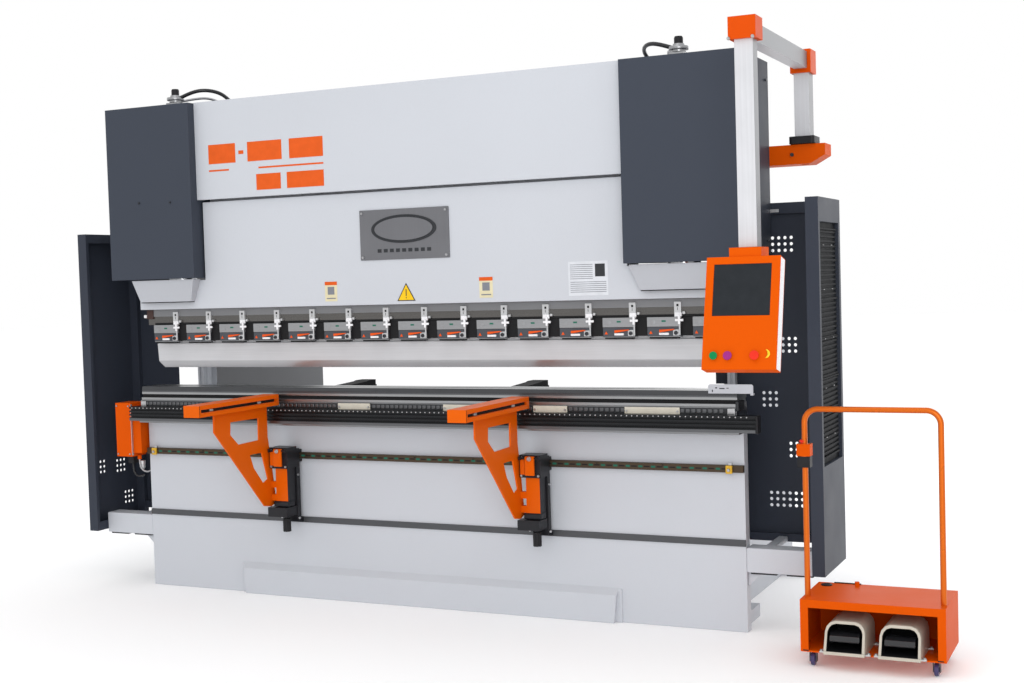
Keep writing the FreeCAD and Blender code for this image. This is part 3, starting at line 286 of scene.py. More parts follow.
# ---- guide rail and roller strip of the sheet supports ----
# A dull brass guide rail and a dark steel roller strip are screwed along the bed. The rail carries
# green index marks and pressed slots, and a yellow stop block is clamped near each end.
def ground_metal(name, colour, roughness, stretch, depth, metallic=1.0):
    """Metal with fine lines; stretch is how tightly they lie along X, Y and Z."""
    material = bpy.data.materials.new(name)
    material.use_nodes = True
    nodes = material.node_tree.nodes
    links = material.node_tree.links
    nodes.clear()
    place = nodes.new("ShaderNodeTexCoord")
    place.label = "place on the machine"
    stretched = nodes.new("ShaderNodeMapping")
    stretched.label = "lines along the grind"
    stretched.inputs["Scale"].default_value = stretch
    lines = nodes.new("ShaderNodeTexNoise")
    lines.label = "grinding lines"
    lines.inputs["Scale"].default_value = 1.0
    lines.inputs["Detail"].default_value = 4
    stain = nodes.new("ShaderNodeTexNoise")
    stain.label = "oil stain"
    stain.inputs["Scale"].default_value = 7
    stain.inputs["Detail"].default_value = 4
    share = nodes.new("ShaderNodeMath")
    share.label = "share of stain"
    share.operation = "MULTIPLY"
    share.inputs[1].default_value = 0.45
    blend = nodes.new("ShaderNodeMath")
    blend.label = "lines and stain together"
    blend.operation = "MULTIPLY_ADD"
    blend.inputs[1].default_value = 0.55
    tint = nodes.new("ShaderNodeMix")
    tint.label = "stained metal"
    tint.data_type = "RGBA"
    tint.inputs["A"].default_value = (*[0.78 * c for c in colour], 1)
    tint.inputs["B"].default_value = (*[min(1.0, 1.14 * c) for c in colour], 1)
    polish = nodes.new("ShaderNodeMapRange")
    polish.label = "uneven polish"
    polish.inputs["To Min"].default_value = max(0.05, roughness - 0.09)
    polish.inputs["To Max"].default_value = roughness + 0.11
    relief = nodes.new("ShaderNodeBump")
    relief.label = "line relief"
    relief.inputs["Strength"].default_value = depth
    relief.inputs["Distance"].default_value = 0.0004
    shader = nodes.new("ShaderNodeBsdfPrincipled")
    shader.label = "metal surface"
    shader.inputs["Metallic"].default_value = metallic
    out = nodes.new("ShaderNodeOutputMaterial")
    grind_box = nodes.new("NodeFrame")
    grind_box.label = "grind and stain"
    for node in (stretched, lines, stain, share, blend, tint):
        node.parent = grind_box
    finish_box = nodes.new("NodeFrame")
    finish_box.label = "relief and polish"
    for node in (polish, relief):
        node.parent = finish_box
    links.new(place.outputs["Object"], stretched.inputs["Vector"])
    links.new(stretched.outputs["Vector"], lines.inputs["Vector"])
    links.new(place.outputs["Object"], stain.inputs["Vector"])
    links.new(stain.outputs["Fac"], share.inputs[0])
    links.new(lines.outputs["Fac"], blend.inputs[0])
    links.new(share.outputs["Value"], blend.inputs[2])
    links.new(blend.outputs["Value"], tint.inputs["Factor"])
    links.new(tint.outputs["Result"], shader.inputs["Base Color"])
    links.new(blend.outputs["Value"], polish.inputs["Value"])
    links.new(polish.outputs["Result"], shader.inputs["Roughness"])
    links.new(lines.outputs["Fac"], relief.inputs["Height"])
    links.new(relief.outputs["Normal"], shader.inputs["Normal"])
    links.new(shader.outputs["BSDF"], out.inputs["Surface"])
    for step, node in enumerate((place, stretched, lines, stain, share, blend, tint, polish,
                                 relief, shader, out)):
        node.location = (190 * step, -130 * (step % 3))
    return material


def moulded(name, colour, roughness, grain, relief_depth, coat=0.0, shine=0.18):
    """Moulded or cast surface with a pebbled skin and uneven sheen."""
    material = bpy.data.materials.new(name)
    material.use_nodes = True
    nodes = material.node_tree.nodes
    links = material.node_tree.links
    nodes.clear()
    place = nodes.new("ShaderNodeTexCoord")
    place.label = "place on the machine"
    pebble = nodes.new("ShaderNodeTexVoronoi")
    pebble.label = "pebbled skin"
    pebble.feature = "SMOOTH_F1"
    pebble.inputs["Scale"].default_value = grain
    relief = nodes.new("ShaderNodeBump")
    relief.label = "skin relief"
    relief.inputs["Strength"].default_value = relief_depth
    relief.inputs["Distance"].default_value = 0.0004
    cloud = nodes.new("ShaderNodeTexNoise")
    cloud.label = "handling marks"
    cloud.inputs["Scale"].default_value = 24
    cloud.inputs["Detail"].default_value = 4
    tone = nodes.new("ShaderNodeMix")
    tone.label = "handled colour"
    tone.data_type = "RGBA"
    tone.inputs["A"].default_value = (*[0.85 * c for c in colour], 1)
    tone.inputs["B"].default_value = (*[min(1.0, 1.12 * c + 0.004) for c in colour], 1)
    sheen = nodes.new("ShaderNodeMapRange")
    sheen.label = "uneven sheen"
    sheen.inputs["To Min"].default_value = roughness - 0.06
    sheen.inputs["To Max"].default_value = roughness + 0.10
    shader = nodes.new("ShaderNodeBsdfPrincipled")
    shader.label = "moulded surface"
    shader.inputs["Specular IOR Level"].default_value = shine
    shader.inputs["Coat Weight"].default_value = coat
    shader.inputs["Coat Roughness"].default_value = 0.08
    out = nodes.new("ShaderNodeOutputMaterial")
    skin_box = nodes.new("NodeFrame")
    skin_box.label = "skin"
    for node in (pebble, relief):
        node.parent = skin_box
    wear_box = nodes.new("NodeFrame")
    wear_box.label = "handling"
    for node in (cloud, tone, sheen):
        node.parent = wear_box
    links.new(place.outputs["Object"], pebble.inputs["Vector"])
    links.new(place.outputs["Object"], cloud.inputs["Vector"])
    links.new(pebble.outputs["Distance"], relief.inputs["Height"])
    links.new(cloud.outputs["Fac"], tone.inputs["Factor"])
    links.new(cloud.outputs["Fac"], sheen.inputs["Value"])
    links.new(tone.outputs["Result"], shader.inputs["Base Color"])
    links.new(sheen.outputs["Result"], shader.inputs["Roughness"])
    links.new(relief.outputs["Normal"], shader.inputs["Normal"])
    links.new(shader.outputs["BSDF"], out.inputs["Surface"])
    for step, node in enumerate((place, pebble, relief, cloud, tone, sheen, shader, out)):
        node.location = (190 * step, -130 * (step % 3))
    return material


def settled(piece):
    """Take a piece's place and turn into its own mesh."""
    only(piece)
    bpy.ops.object.transform_apply(location=True, rotation=True, scale=True)


def block(name, low, high, edge=0.001, steps=2):
    """Block between two corners with its edges broken."""
    low = Vector(low)
    high = Vector(high)
    bpy.ops.object.select_all(action="DESELECT")
    bpy.ops.mesh.primitive_cube_add(size=1, location=(low + high) / 2)
    piece = bpy.context.object
    piece.name = name
    piece.scale = high - low
    settled(piece)
    if edge:
        rounded(piece, edge, steps)
    return piece


def turned(name, profile, sides=20):
    """Turned piece on the origin that points at -Y; the profile is (radius, distance) steps."""
    radius, distance = profile[0]
    bpy.ops.object.select_all(action="DESELECT")
    bpy.ops.mesh.primitive_circle_add(vertices=sides, radius=radius, fill_type="NGON",
                                      location=(0, 0, distance))
    piece = bpy.context.object
    piece.name = name
    bpy.ops.object.mode_set(mode="EDIT")
    bpy.ops.mesh.select_all(action="SELECT")
    for next_radius, next_distance in profile[1:]:
        bpy.ops.mesh.extrude_region_move(TRANSFORM_OT_translate={"value": (0, 0, next_distance - distance)})
        factor = next_radius / radius
        bpy.ops.transform.resize(value=(factor, factor, 1), center_override=(0, 0, next_distance))
        radius = next_radius
        distance = next_distance
    bpy.ops.mesh.select_all(action="SELECT")
    bpy.ops.mesh.normals_make_consistent(inside=False)
    bpy.ops.object.mode_set(mode="OBJECT")
    piece.rotation_euler = (math.radians(90), 0, 0)
    settled(piece)
    bpy.ops.object.shade_smooth_by_angle(angle=math.radians(38))
    return piece


def row(name, master, places, turn=(0, 0, 0)):
    """Copies of a master at each place, joined to one piece; the master itself is used up."""
    copies = []
    for place in places:
        copy = bpy.data.objects.new(name, master.data.copy())
        copy.location = place
        copy.rotation_euler = turn
        bpy.context.scene.collection.objects.link(copy)
        copies.append(copy)
    bpy.data.objects.remove(master)
    bpy.ops.object.select_all(action="DESELECT")
    for copy in copies:
        copy.select_set(True)
    bpy.context.view_layer.objects.active = copies[0]
    if len(copies) > 1:
        bpy.ops.object.join()
    settled(copies[0])
    copies[0].name = name
    return copies[0]


def socket_screw(radius):
    """Cap screw with a hollow in its head, pointing at -Y."""
    return turned("screw", [(radius, -0.001), (radius, 0.55 * radius), (0.85 * radius, 0.8 * radius),
                            (0.5 * radius, 0.8 * radius), (0.45 * radius, 0.3 * radius)], 14)


along_x = (3, 500, 500)
dull_brass = ground_metal("dull_brass", (0.072, 0.050, 0.032), 0.5, along_x, 0.15, 0.75)
strip_steel = ground_metal("strip_steel", (0.085, 0.088, 0.095), 0.45, along_x, 0.12, 0.6)
guides = finished_copy("front_guides", dull_brass, 0.0012)
coloured(guides, strip_steel, lambda centre, normal: centre.z < 0.5)
guide_low, guide_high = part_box("front_guides")
guide_front = guide_low.y
guide_top = guide_high.z
guide_middle = guide_top - 0.015
mark_green = moulded("mark_green", (0.012, 0.13, 0.085), 0.5, 1500, 0.03)
slot_black = moulded("slot_black", (0.008, 0.008, 0.009), 0.6, 1500, 0.03)
screw_steel = ground_metal("screw_steel", (0.50, 0.50, 0.51), 0.3, (60, 60, 60), 0.04)
mark_pitch = 0.057
mark_count = 52
mark_start = guide_low.x + 0.085
mark = block("mark", (-0.0095, -0.0006, -0.0042), (0.0095, 0.0006, 0.0042), 0.0005, 1)
places = [(mark_start + mark_pitch * i, guide_front - 0.0002, guide_middle) for i in range(mark_count)]
fitted(row("guide_marks", mark, places), mark_green, "frame")
slot = block("slot", (-0.013, -0.0006, -0.0026), (0.013, 0.0006, 0.0026), 0.0005, 1)
places = [(mark_start + mark_pitch * (i + 0.5), guide_front - 0.0002, guide_middle)
          for i in range(mark_count)]
fitted(row("guide_slots", slot, places), slot_black, "frame")
places = [(guide_low.x + 0.05 + 0.3 * i, guide_front, guide_top - 0.006) for i in range(11)]
dark_head = moulded("dark_head", (0.03, 0.024, 0.018), 0.4, 1500, 0.03)
fitted(row("guide_screws", socket_screw(0.0036), places), dark_head, "frame")
stop_yellow = moulded("stop_yellow", (0.62, 0.36, 0.02), 0.38, 1200, 0.08, coat=0.3)
stop = block("stop", (-0.014, -0.011, -0.019), (0.014, 0, 0.016), 0.003)
stops = row("guide_stops", stop, [(-1.499, guide_front, guide_middle), (1.491, guide_front, guide_middle)])
fitted(stops, stop_yellow, "frame")
places = [(x, guide_front - 0.011, guide_middle - 0.002) for x in (-1.499, 1.491)]
fitted(row("guide_stop_screws", socket_screw(0.007), places), screw_steel, "frame")
places = [(x, guide_front - 0.002, guide_middle + 0.020) for x in (-1.494, 1.494)]
latch = block("latch", (-0.008, 0, -0.005), (0.008, 0.010, 0.006), 0.0015)
fitted(row("guide_stop_latches", latch, places), screw_steel, "frame")


# ---- support rail ----
# A black anodised aluminium extrusion with three grooves, bolted in front of the crowning table.
# A row of bright screw heads runs along its top edge, and a moulded cap closes its right end.
rail_black = ground_metal("rail_black", (0.012, 0.013, 0.015), 0.30, along_x, 0.06, 0.6)
finished_copy("support_rail", rail_black, 0.0012)
rail_low, rail_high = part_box("support_rail")
bump_pitch = 0.0235
bump_count = int((rail_high.x - rail_low.x - 0.03) / bump_pitch)
bump = turned("bump", [(0.0033, -0.001), (0.0033, 0.0010), (0.0024, 0.0021), (0.0010, 0.0026)], 8)
places = [(rail_low.x + 0.02 + bump_pitch * i, rail_low.y + 0.0005, rail_high.z - 0.005)
          for i in range(bump_count)]
fitted(row("rail_screws", bump, places), screw_steel, "frame")
lip_steel = ground_metal("lip_steel", (0.13, 0.133, 0.14), 0.35, along_x, 0.1)
lip = block("rail_lower_lip", (rail_low.x + 0.002, rail_low.y - 0.0015, rail_low.z),
            (rail_high.x - 0.002, rail_low.y + 0.002, rail_low.z + 0.013), 0.0008)
fitted(lip, lip_steel, "frame")
cap_black = moulded("cap_black", (0.012, 0.012, 0.014), 0.42, 900, 0.15)
cap = block("rail_end_cap", (rail_high.x - 0.002, rail_low.y - 0.002, rail_low.z - 0.003),
            (rail_high.x + 0.009, rail_high.y - 0.004, rail_high.z + 0.001), 0.004, 3)
fitted(cap, cap_black, "frame")


# ---- crowning table ----
# A ground steel base with rows of hardened wedges that bow the die slightly. Cream cover plates
# are screwed over the adjusting points, and the wedge row shows dark between them.
table_steel = ground_metal("table_steel", (0.25, 0.253, 0.262), 0.30, along_x, 0.12)
finished_copy("crowning_table", table_steel, 0.0015)
wedge_dark = ground_metal("wedge_dark", (0.042, 0.044, 0.048), 0.4, (90, 90, 90), 0.25, 0.7)
table_low, table_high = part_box("crowning_table")
table_front = -0.074
wedge_low = rail_high.z - 0.002
wedge_high = table_high.z - 0.003
panel = block("wedge_channel", (table_low.x + 0.02, table_front - 0.002, wedge_low),
              (table_high.x - 0.03, table_front + 0.001, wedge_high), 0.0006)
fitted(panel, wedge_dark, "frame")
wedge_pitch = 0.024
tooth = block("tooth", (-0.0085, -0.0035, -0.008), (0.0085, 0, 0.009), 0.0015, 1)
places = [(table_low.x + 0.05 + wedge_pitch * i, table_front - 0.0015, (wedge_low + wedge_high) / 2)
          for i in range(125)]
fitted(row("crowning_wedges", tooth, places), lip_steel, "frame")
plate_cream = moulded("plate_cream", (0.63, 0.59, 0.50), 0.36, 900, 0.06, coat=0.2)
plate_ends = ((-1.06, -0.93), (-0.37, -0.197), (0.185, 0.36), (0.63, 0.791), (1.055, 1.299))
for number, (start, end) in enumerate(plate_ends):
    plate = block("table_cover_%d" % number, (start, table_front - 0.010, wedge_low - 0.001),
                  (end, table_front - 0.006, wedge_high + 0.001), 0.0014)
    fitted(plate, plate_cream, "frame")
places = [(x, table_front - 0.010, (wedge_low + wedge_high) / 2)
          for start, end in plate_ends for x in (start + 0.009, end - 0.009)]
fitted(row("table_cover_screws", socket_screw(0.0045), places), screw_steel, "frame")
ends = [(table_low.x + 0.035, table_front, (wedge_low + wedge_high) / 2),
        (table_high.x - 0.030, table_front, (wedge_low + wedge_high) / 2)]
end_block = block("end_block", (-0.016, -0.012, -0.013), (0.016, 0, 0.013), 0.003)
fitted(row("table_end_blocks", end_block, ends), screw_steel, "frame")
stop = block("table_end_stop", (1.535, -0.0755, 0.930), (1.5495, 0.015, 0.971), 0.004, 3)
fitted(stop, wedge_dark, "frame")


# ---- lower die and its end bracket ----
# The die and its holding bar are ground tool steel with a V groove, and the gap between them shows
# as a dark line. A folded bracket of light painted sheet is clipped over the die's right end.
die_steel = ground_metal("die_steel", (0.34, 0.345, 0.352), 0.30, along_x, 0.1)
holder_dark = ground_metal("holder_dark", (0.075, 0.077, 0.082), 0.28, along_x, 0.1, 0.9)
die = finished_copy("lower_die", die_steel, 0.001)


def dark_on_die(centre, normal):
    """True on the die's front faces in its lower gap and above its step."""
    in_gap = 0.9602 < centre.z < 0.9745
    return normal.y < -0.5 and (in_gap or centre.z > 0.9935)


coloured(die, holder_dark, dark_on_die)
die_low, die_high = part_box("lower_die")
seam = block("die_seam", (die_low.x + 0.001, -0.0535, 0.9605), (die_high.x - 0.001, -0.0515, 0.9755), 0)
rounded(seam, 0.0003, 1)
fitted(seam, slot_black, "frame")
step_line = block("die_step_line", (die_low.x + 0.001, -0.0625, 0.9872),
                  (die_high.x - 0.001, -0.0602, 0.9928), 0.0004, 1)
fitted(step_line, lip_steel, "frame")
bracket_paint = powder_coat("bracket_paint", (0.50, 0.51, 0.55), 0.4, 700)
finished_copy("die_end_bracket", bracket_paint, 0.0008)
bracket_low, bracket_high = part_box("die_end_bracket")
bracket_slots = ((0.016, 0.013, 0.004, 0.010), (0.030, 0.028, 0.008, 0.005),
                 (0.048, 0.026, 0.022, 0.004), (0.078, 0.028, 0.010, 0.003))
slot_foot = bracket_high.z - 0.045
for number, (x, z, width, height) in enumerate(bracket_slots):
    opening = block("bracket_slot_%d" % number,
                    (bracket_low.x + x, bracket_low.y - 0.0006, slot_foot + z),
                    (bracket_low.x + x + width, bracket_low.y + 0.0004, slot_foot + z + height), 0.0003, 1)
    fitted(opening, slot_black, "frame")


# ---- cylinder covers and rod covers ----
# Folded sheet covers stand over the two hydraulic cylinders, slate powder coated, and light grey
# tapered covers under them hide the rods. Each is held by a few small screws.
slate = powder_coat("slate_paint", (0.047, 0.055, 0.073), 0.46, 800, shine=0.1)
rod_cover_grey = powder_coat("rod_cover_grey", (0.43, 0.445, 0.48), 0.42, 700)
finished_copy("cylinder_covers", slate, 0.003)
finished_copy("rod_covers", rod_cover_grey, 0.002)
cover_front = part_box("cylinder_covers")[0].y
screw_dark = ground_metal("screw_dark", (0.06, 0.062, 0.07), 0.35, (60, 60, 60), 0.04, 0.8)
places = [(-1.415, cover_front, 1.925), (-1.225, cover_front, 1.920)]
fitted(row("cover_screws", socket_screw(0.005), places), screw_dark, "frame")
# A thin black strip under each rod cover's lower edge is painted shadow.
cover_shadow_line = block("cover_shadow_line", (-0.150, -0.1345, 1.4335), (0.150, -0.100, 1.4368), 0.0004, 1)
places = [(side * 1.310, 0, 0) for side in (-1, 1)]
fitted(row("rod_cover_shadow_lines", cover_shadow_line, places), slot_black, "ram")
seam_places = [(side * 1.6052, 0.055, 1.97) for side in (-1, 1)]
seam_strip = block("seam_strip", (-0.0009, -0.0015, -0.405), (0.0009, 0.0015, 0.405), 0.0003, 1)
fitted(row("cover_side_seams", seam_strip, seam_places), slot_black, "frame")
side_screw = socket_screw(0.006)
side_screw.rotation_euler = (0, 0, math.radians(90))
settled(side_screw)
places = [(1.6055, y, z) for y in (-0.13, 0.24) for z in (1.63, 2.31)]
fitted(row("cover_side_screws", side_screw, places), screw_dark, "frame")


# ---- upper front cover ----
# One long folded sheet closes the top between the covers. It carries a plain orange decoration
# of cut vinyl bars, and its lower edge stands off the ram with a dark gap.
finished_copy("upper_front_cover", machine_grey, 0.003)
upper_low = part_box("upper_front_cover")[0]
orange_paint = powder_coat("orange_paint", (0.64, 0.080, 0.0004), 0.42, 650, gloss=0.0, shine=0.04)
vinyl_orange = moulded("vinyl_orange", (0.66, 0.092, 0.006), 0.5, 1800, 0.02)
bar_depth = 0.0008
bars = ((-1.022, -0.865, 2.092, 2.184), (-0.847, -0.818, 2.130, 2.147), (-0.796, -0.602, 2.092, 2.184),
        (-0.560, -0.374, 2.092, 2.184), (-1.022, -0.905, 2.056, 2.064), (-0.735, -0.374, 2.056, 2.064),
        (-0.750, -0.612, 1.955, 2.030), (-0.578, -0.374, 1.955, 2.030))
for number, (left, right_end, foot, head) in enumerate(bars):
    bar = block("vinyl_bar_%d" % number, (left, upper_low.y - bar_depth, foot),
                (right_end, upper_low.y + 0.0004, head),
                0.0003, 1)
    fitted(bar, vinyl_orange, "frame")


# ---- ram ----
# The ram is one thick plate with a light grey front panel. A cast nameplate and a few plain
# printed labels are fixed on it, and a dark gap shows under the panel.
finished_copy("ram_plate", machine_grey)
finished_copy("ram_front_panel", machine_grey, 0.003)
panel_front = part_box("ram_front_panel")[0].y
name_steel = ground_metal("name_steel", (0.17, 0.172, 0.185), 0.42, (700, 4, 4), 0.1, 0.7)
name_dark = moulded("name_dark", (0.03, 0.032, 0.036), 0.45, 1400, 0.1)
nameplate = block("nameplate", (-0.205, panel_front - 0.006, 1.604),
                  (0.255, panel_front + 0.0005, 1.832), 0.0025)
fitted(nameplate, name_steel, "ram")
rim = turned("nameplate_rim", [(0.089, -0.001), (0.089, 0.0022), (0.084, 0.0026), (0.083, 0.0006)], 72)
rim.scale = (1.88, 1, 0.72)
rim.location = (0.025, panel_front - 0.0058, 1.742)
settled(rim)
fitted(rim, name_dark, "ram")
inner = turned("nameplate_field", [(0.078, -0.001), (0.078, 0.0030), (0.076, 0.0033)], 72)
inner.scale = (1.92, 1, 0.66)
inner.location = (0.025, panel_front - 0.0058, 1.742)
settled(inner)
fitted(inner, name_steel, "ram")
bend_sign = [(-0.028, 1.742, 0.060, 25), (0.078, 1.742, 0.060, -25)]
for number, (x, z, half, turn) in enumerate(bend_sign):
    stroke = block("nameplate_stroke_%d" % number, (-half, panel_front - 0.0098, -0.005),
                   (half, panel_front - 0.0088, 0.005),
                   0.0004, 1)
    stroke.rotation_euler = (0, math.radians(turn), 0)
    stroke.location = (x, 0, z)
    settled(stroke)
    fitted(stroke, name_dark, "ram")
dash = block("dash", (-0.010, panel_front - 0.0072, -0.008),
             (0.010, panel_front - 0.0058, 0.008), 0.0004, 1)
places = [(-0.103 + 0.032 * i, 0, 1.645) for i in range(9)]
fitted(row("nameplate_dashes", dash, places), name_dark, "ram")
places = [(x, panel_front - 0.006, z) for x in (-0.191, 0.241) for z in (1.618, 1.818)]
fitted(row("nameplate_screws", socket_screw(0.006), places), screw_steel, "ram")
paper_cream = moulded("paper_cream", (0.66, 0.60, 0.40), 0.6, 1600, 0.02)
paper_white = moulded("paper_white", (0.62, 0.64, 0.68), 0.55, 1600, 0.02)
print_grey = moulded("print_grey", (0.20, 0.21, 0.24), 0.6, 1600, 0.02)
sign_yellow = moulded("sign_yellow", (0.80, 0.50, 0.01), 0.45, 1600, 0.02)


def label(name, low, high, finish, layer=1):
    """Thin printed label on the ram panel; the layer says how many labels it lies over."""
    sheet = block(name, (low[0], panel_front - 0.0006 * layer, low[1]),
                  (high[0], panel_front + 0.0002, high[1]),
                  0.0002, 1)
    return fitted(sheet, finish, "ram")


for number, x in enumerate((-0.374, 0.428)):
    label("notice_%d" % number, (x - 0.033, 1.421), (x + 0.033, 1.512), paper_cream)
    label("notice_head_%d" % number, (x - 0.033, 1.496), (x + 0.033, 1.512), vinyl_orange, 2)
    label("notice_field_%d" % number, (x - 0.018, 1.452), (x + 0.018, 1.488), print_grey, 2)
    label("notice_foot_%d" % number, (x - 0.024, 1.432), (x + 0.024, 1.437), print_grey, 2)
triangle = turned("caution_triangle", [(0.054, -0.0003), (0.054, 0.0010)], 3)
triangle.location = (0.0255, panel_front, 1.4425)
settled(triangle)
fitted(triangle, name_dark, "ram")
triangle = turned("caution_field", [(0.046, -0.0003), (0.046, 0.0014)], 3)
triangle.location = (0.0255, panel_front, 1.4425)
settled(triangle)
fitted(triangle, sign_yellow, "ram")
label("caution_bar", (0.0230, 1.437), (0.0280, 1.468), name_dark, 3)
label("caution_dot", (0.0230, 1.427), (0.0280, 1.432), name_dark, 3)
label("chart", (0.822, 1.420), (1.003, 1.566), paper_white)
label("chart_field", (0.945, 1.500), (0.990, 1.554), name_dark, 2)
line = block("line", (-0.052, panel_front - 0.0011, -0.0012),
             (0.052, panel_front - 0.0002, 0.0012), 0.0002, 1)
places = [(0.882, 0, 1.552 - 0.0085 * i) for i in range(8)]
fitted(row("chart_lines_upper", line, places), print_grey, "ram")
line = block("line", (-0.082, panel_front - 0.0011, -0.0012),
             (0.082, panel_front - 0.0002, 0.0012), 0.0002, 1)
places = [(0.913, 0, 1.478 - 0.0085 * i) for i in range(6)]
fitted(row("chart_lines_lower", line, places), print_grey, "ram")


# ---- clamp rail and punch clamps ----
# A ground bar under the ram carries fifteen intermediate clamps. Each has a machined jaw in two
# parts, a strap with a cross-shaped clip, a dark screw and a lever that turns it tight.
rail_steel = ground_metal("rail_steel", (0.12, 0.115, 0.11), 0.25, along_x, 0.08, 0.9)
finished_copy("clamp_rail", rail_steel, 0.0012)
jaw_light = ground_metal("jaw_light", (0.30, 0.305, 0.315), 0.36, along_x, 0.1, 0.6)
jaw_dark = ground_metal("jaw_dark", (0.075, 0.08, 0.092), 0.38, along_x, 0.12, 0.6)
strap_steel = ground_metal("strap_steel", (0.55, 0.555, 0.565), 0.30, (30, 30, 600), 0.08, 0.75)
clip_white = moulded("clip_white", (0.78, 0.78, 0.80), 0.35, 1200, 0.05, coat=0.2)
lever_orange = moulded("lever_orange", (0.74, 0.085, 0.004), 0.35, 1000, 0.06, coat=0.1)
clamp_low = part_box("tool_clamps")[0]
clamp_rail_low, clamp_rail_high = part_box("clamp_rail")
clamp_pitch = 0.200
clamp_count = 15
first_clamp = clamp_low.x + 0.074
clamp_xs = [first_clamp + clamp_pitch * i for i in range(clamp_count)]
jaw_front = clamp_low.y


def every_clamp(name, master, finish):
    """One small part repeated at each clamp."""
    piece = row(name, master, [(x, 0, 0) for x in clamp_xs])
    return fitted(piece, finish, "ram")


def clamp_block(name, low, high, finish, edge, steps=2):
    """Block repeated at each clamp; its corners are measured from the clamp's middle."""
    return every_clamp(name, block(name, low, high, edge, steps), finish)


jaws = clamp_block("clamp_upper_jaws", (-0.074, jaw_front, 1.282), (0.072, -0.036, 1.3225),
                   jaw_light, 0.002)
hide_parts("tool_clamps")
clamp_block("clamp_lower_jaws", (-0.074, jaw_front + 0.002, 1.242), (0.072, -0.036, 1.2815),
            jaw_dark, 0.002)
clamp_block("clamp_jaw_feet", (-0.074, jaw_front + 0.006, 1.2385), (0.072, -0.036, 1.2425),
            jaw_light, 0.0006, 1)
clamp_block("clamp_straps", (0.046, -0.073, 1.318), (0.076, -0.060, 1.386), strap_steel, 0.0015)
clamp_block("clamp_strap_slots", (0.057, -0.0737, 1.366), (0.066, -0.0728, 1.376), slot_black, 0.0003, 1)
clamp_block("clamp_strap_lines", (0.060, -0.0737, 1.350), (0.062, -0.0728, 1.362), slot_black, 0.0003, 1)
clamp_block("clamp_strap_knuckles", (0.049, -0.077, 1.324), (0.079, -0.066, 1.342), clip_white, 0.003, 3)
clamp_block("clamp_clip_bars", (0.051, -0.081, 1.304), (0.087, -0.074, 1.314), clip_white, 0.002, 2)
clamp_block("clamp_clip_posts", (0.064, -0.083, 1.292), (0.074, -0.075, 1.330), clip_white, 0.002, 2)
clamp_block("clamp_edges", (0.067, -0.080, 1.246), (0.0735, -0.074, 1.300), strap_steel, 0.001, 1)
clamp_block("clamp_bolts", (0.081, -0.074, 1.333), (0.093, -0.060, 1.345), strap_steel, 0.003, 2)
clamp_block("clamp_lever_bases", (-0.020, jaw_front - 0.0045, 1.2475), (0.022, jaw_front + 0.004, 1.2570),
            clip_white, 0.001, 1)
clamp_block("clamp_green_marks", (-0.009, jaw_front - 0.0006, 1.302), (0.009, jaw_front + 0.0004, 1.309),
            mark_green, 0.0002, 1)
screw = socket_screw(0.0085)
screw.location = (0.053, jaw_front + 0.001, 1.2570)
settled(screw)
every_clamp("clamp_screws", screw, screw_dark)
clamp_block("clamp_screw_seats", (0.040, jaw_front - 0.0012, 1.2445), (0.0655, jaw_front + 0.003, 1.2700),
            strap_steel, 0.001, 1)
mark = turned("mark", [(0.0085, -0.0004), (0.0085, 0.0012)], 3)
mark.location = (-0.058, jaw_front + 0.0018, 1.2570)
settled(mark)
every_clamp("clamp_orange_marks", mark, lever_orange)
ring = turned("ring", [(0.0115, -0.0004), (0.0115, 0.0004), (0.0108, 0.0007)], 24)
ring.location = (-0.048, jaw_front, 1.302)
settled(ring)
every_clamp("clamp_rings", ring, jaw_light)
lever = block("lever", (-0.018, -0.084, 1.2580), (0.048, -0.0755, 1.2700), 0)
only(lever)
bpy.ops.object.mode_set(mode="EDIT")
bpy.ops.mesh.select_all(action="DESELECT")
bpy.ops.object.mode_set(mode="OBJECT")
for vertex in lever.data.vertices:
    vertex.select = vertex.co.x > 0
for edge in lever.data.edges:
    edge.select = all(lever.data.vertices[i].select for i in edge.vertices)
for face in lever.data.polygons:
    face.select = all(lever.data.vertices[i].select for i in face.vertices)
bpy.ops.object.mode_set(mode="EDIT")
bpy.ops.transform.resize(value=(1, 1, 0.35), center_override=(0.048, -0.08, 1.2740))
bpy.ops.object.mode_set(mode="OBJECT")
rounded(lever, 0.0018)
levers = every_clamp("clamp_levers_finished", lever, lever_orange)
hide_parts("clamp_levers")
# A black plate behind the clamps is painted shade, and it shows dark in the gaps between them.
gap_shade_plate = block("clamp_gap_painted_shade", (first_clamp - 0.070, -0.064, 1.244),
                (clamp_xs[-1] + 0.090, -0.034, 1.3228), 0.001, 1)
fitted(gap_shade_plate, slot_black, "ram")
band_left = clamp_rail_low.x + 0.024
band_right = clamp_rail_high.x - 0.002
band = block("clamp_rail_band", (band_left, -0.0625, 1.364), (band_right, -0.0585, 1.3985), 0.001)
band_steel = ground_metal("band_steel", (0.20, 0.203, 0.212), 0.4, along_x, 0.1, 0.6)
fitted(band, band_steel, "ram")
knob = block("clamp_rail_knob", (-1.503, -0.070, 1.358), (-1.486, -0.058, 1.374), 0.004, 3)
fitted(knob, clip_white, "ram")
# A black strip along the rail over the clamp tops is painted shadow.
gap = block("clamp_rail_painted_shadow", (first_clamp - 0.074, -0.0635, 1.3235),
            (clamp_xs[-1] + 0.074, -0.0595, 1.3330), 0.0005, 1)
fitted(gap, slot_black, "ram")
warm_brown = moulded("warm_brown", (0.055, 0.030, 0.026), 0.45, 1200, 0.1)
end_block = block("clamp_rail_end", (clamp_rail_low.x + 0.018, -0.066, 1.352),
                  (clamp_rail_low.x + 0.058, -0.058, 1.398), 0.002)
fitted(end_block, warm_brown, "ram")
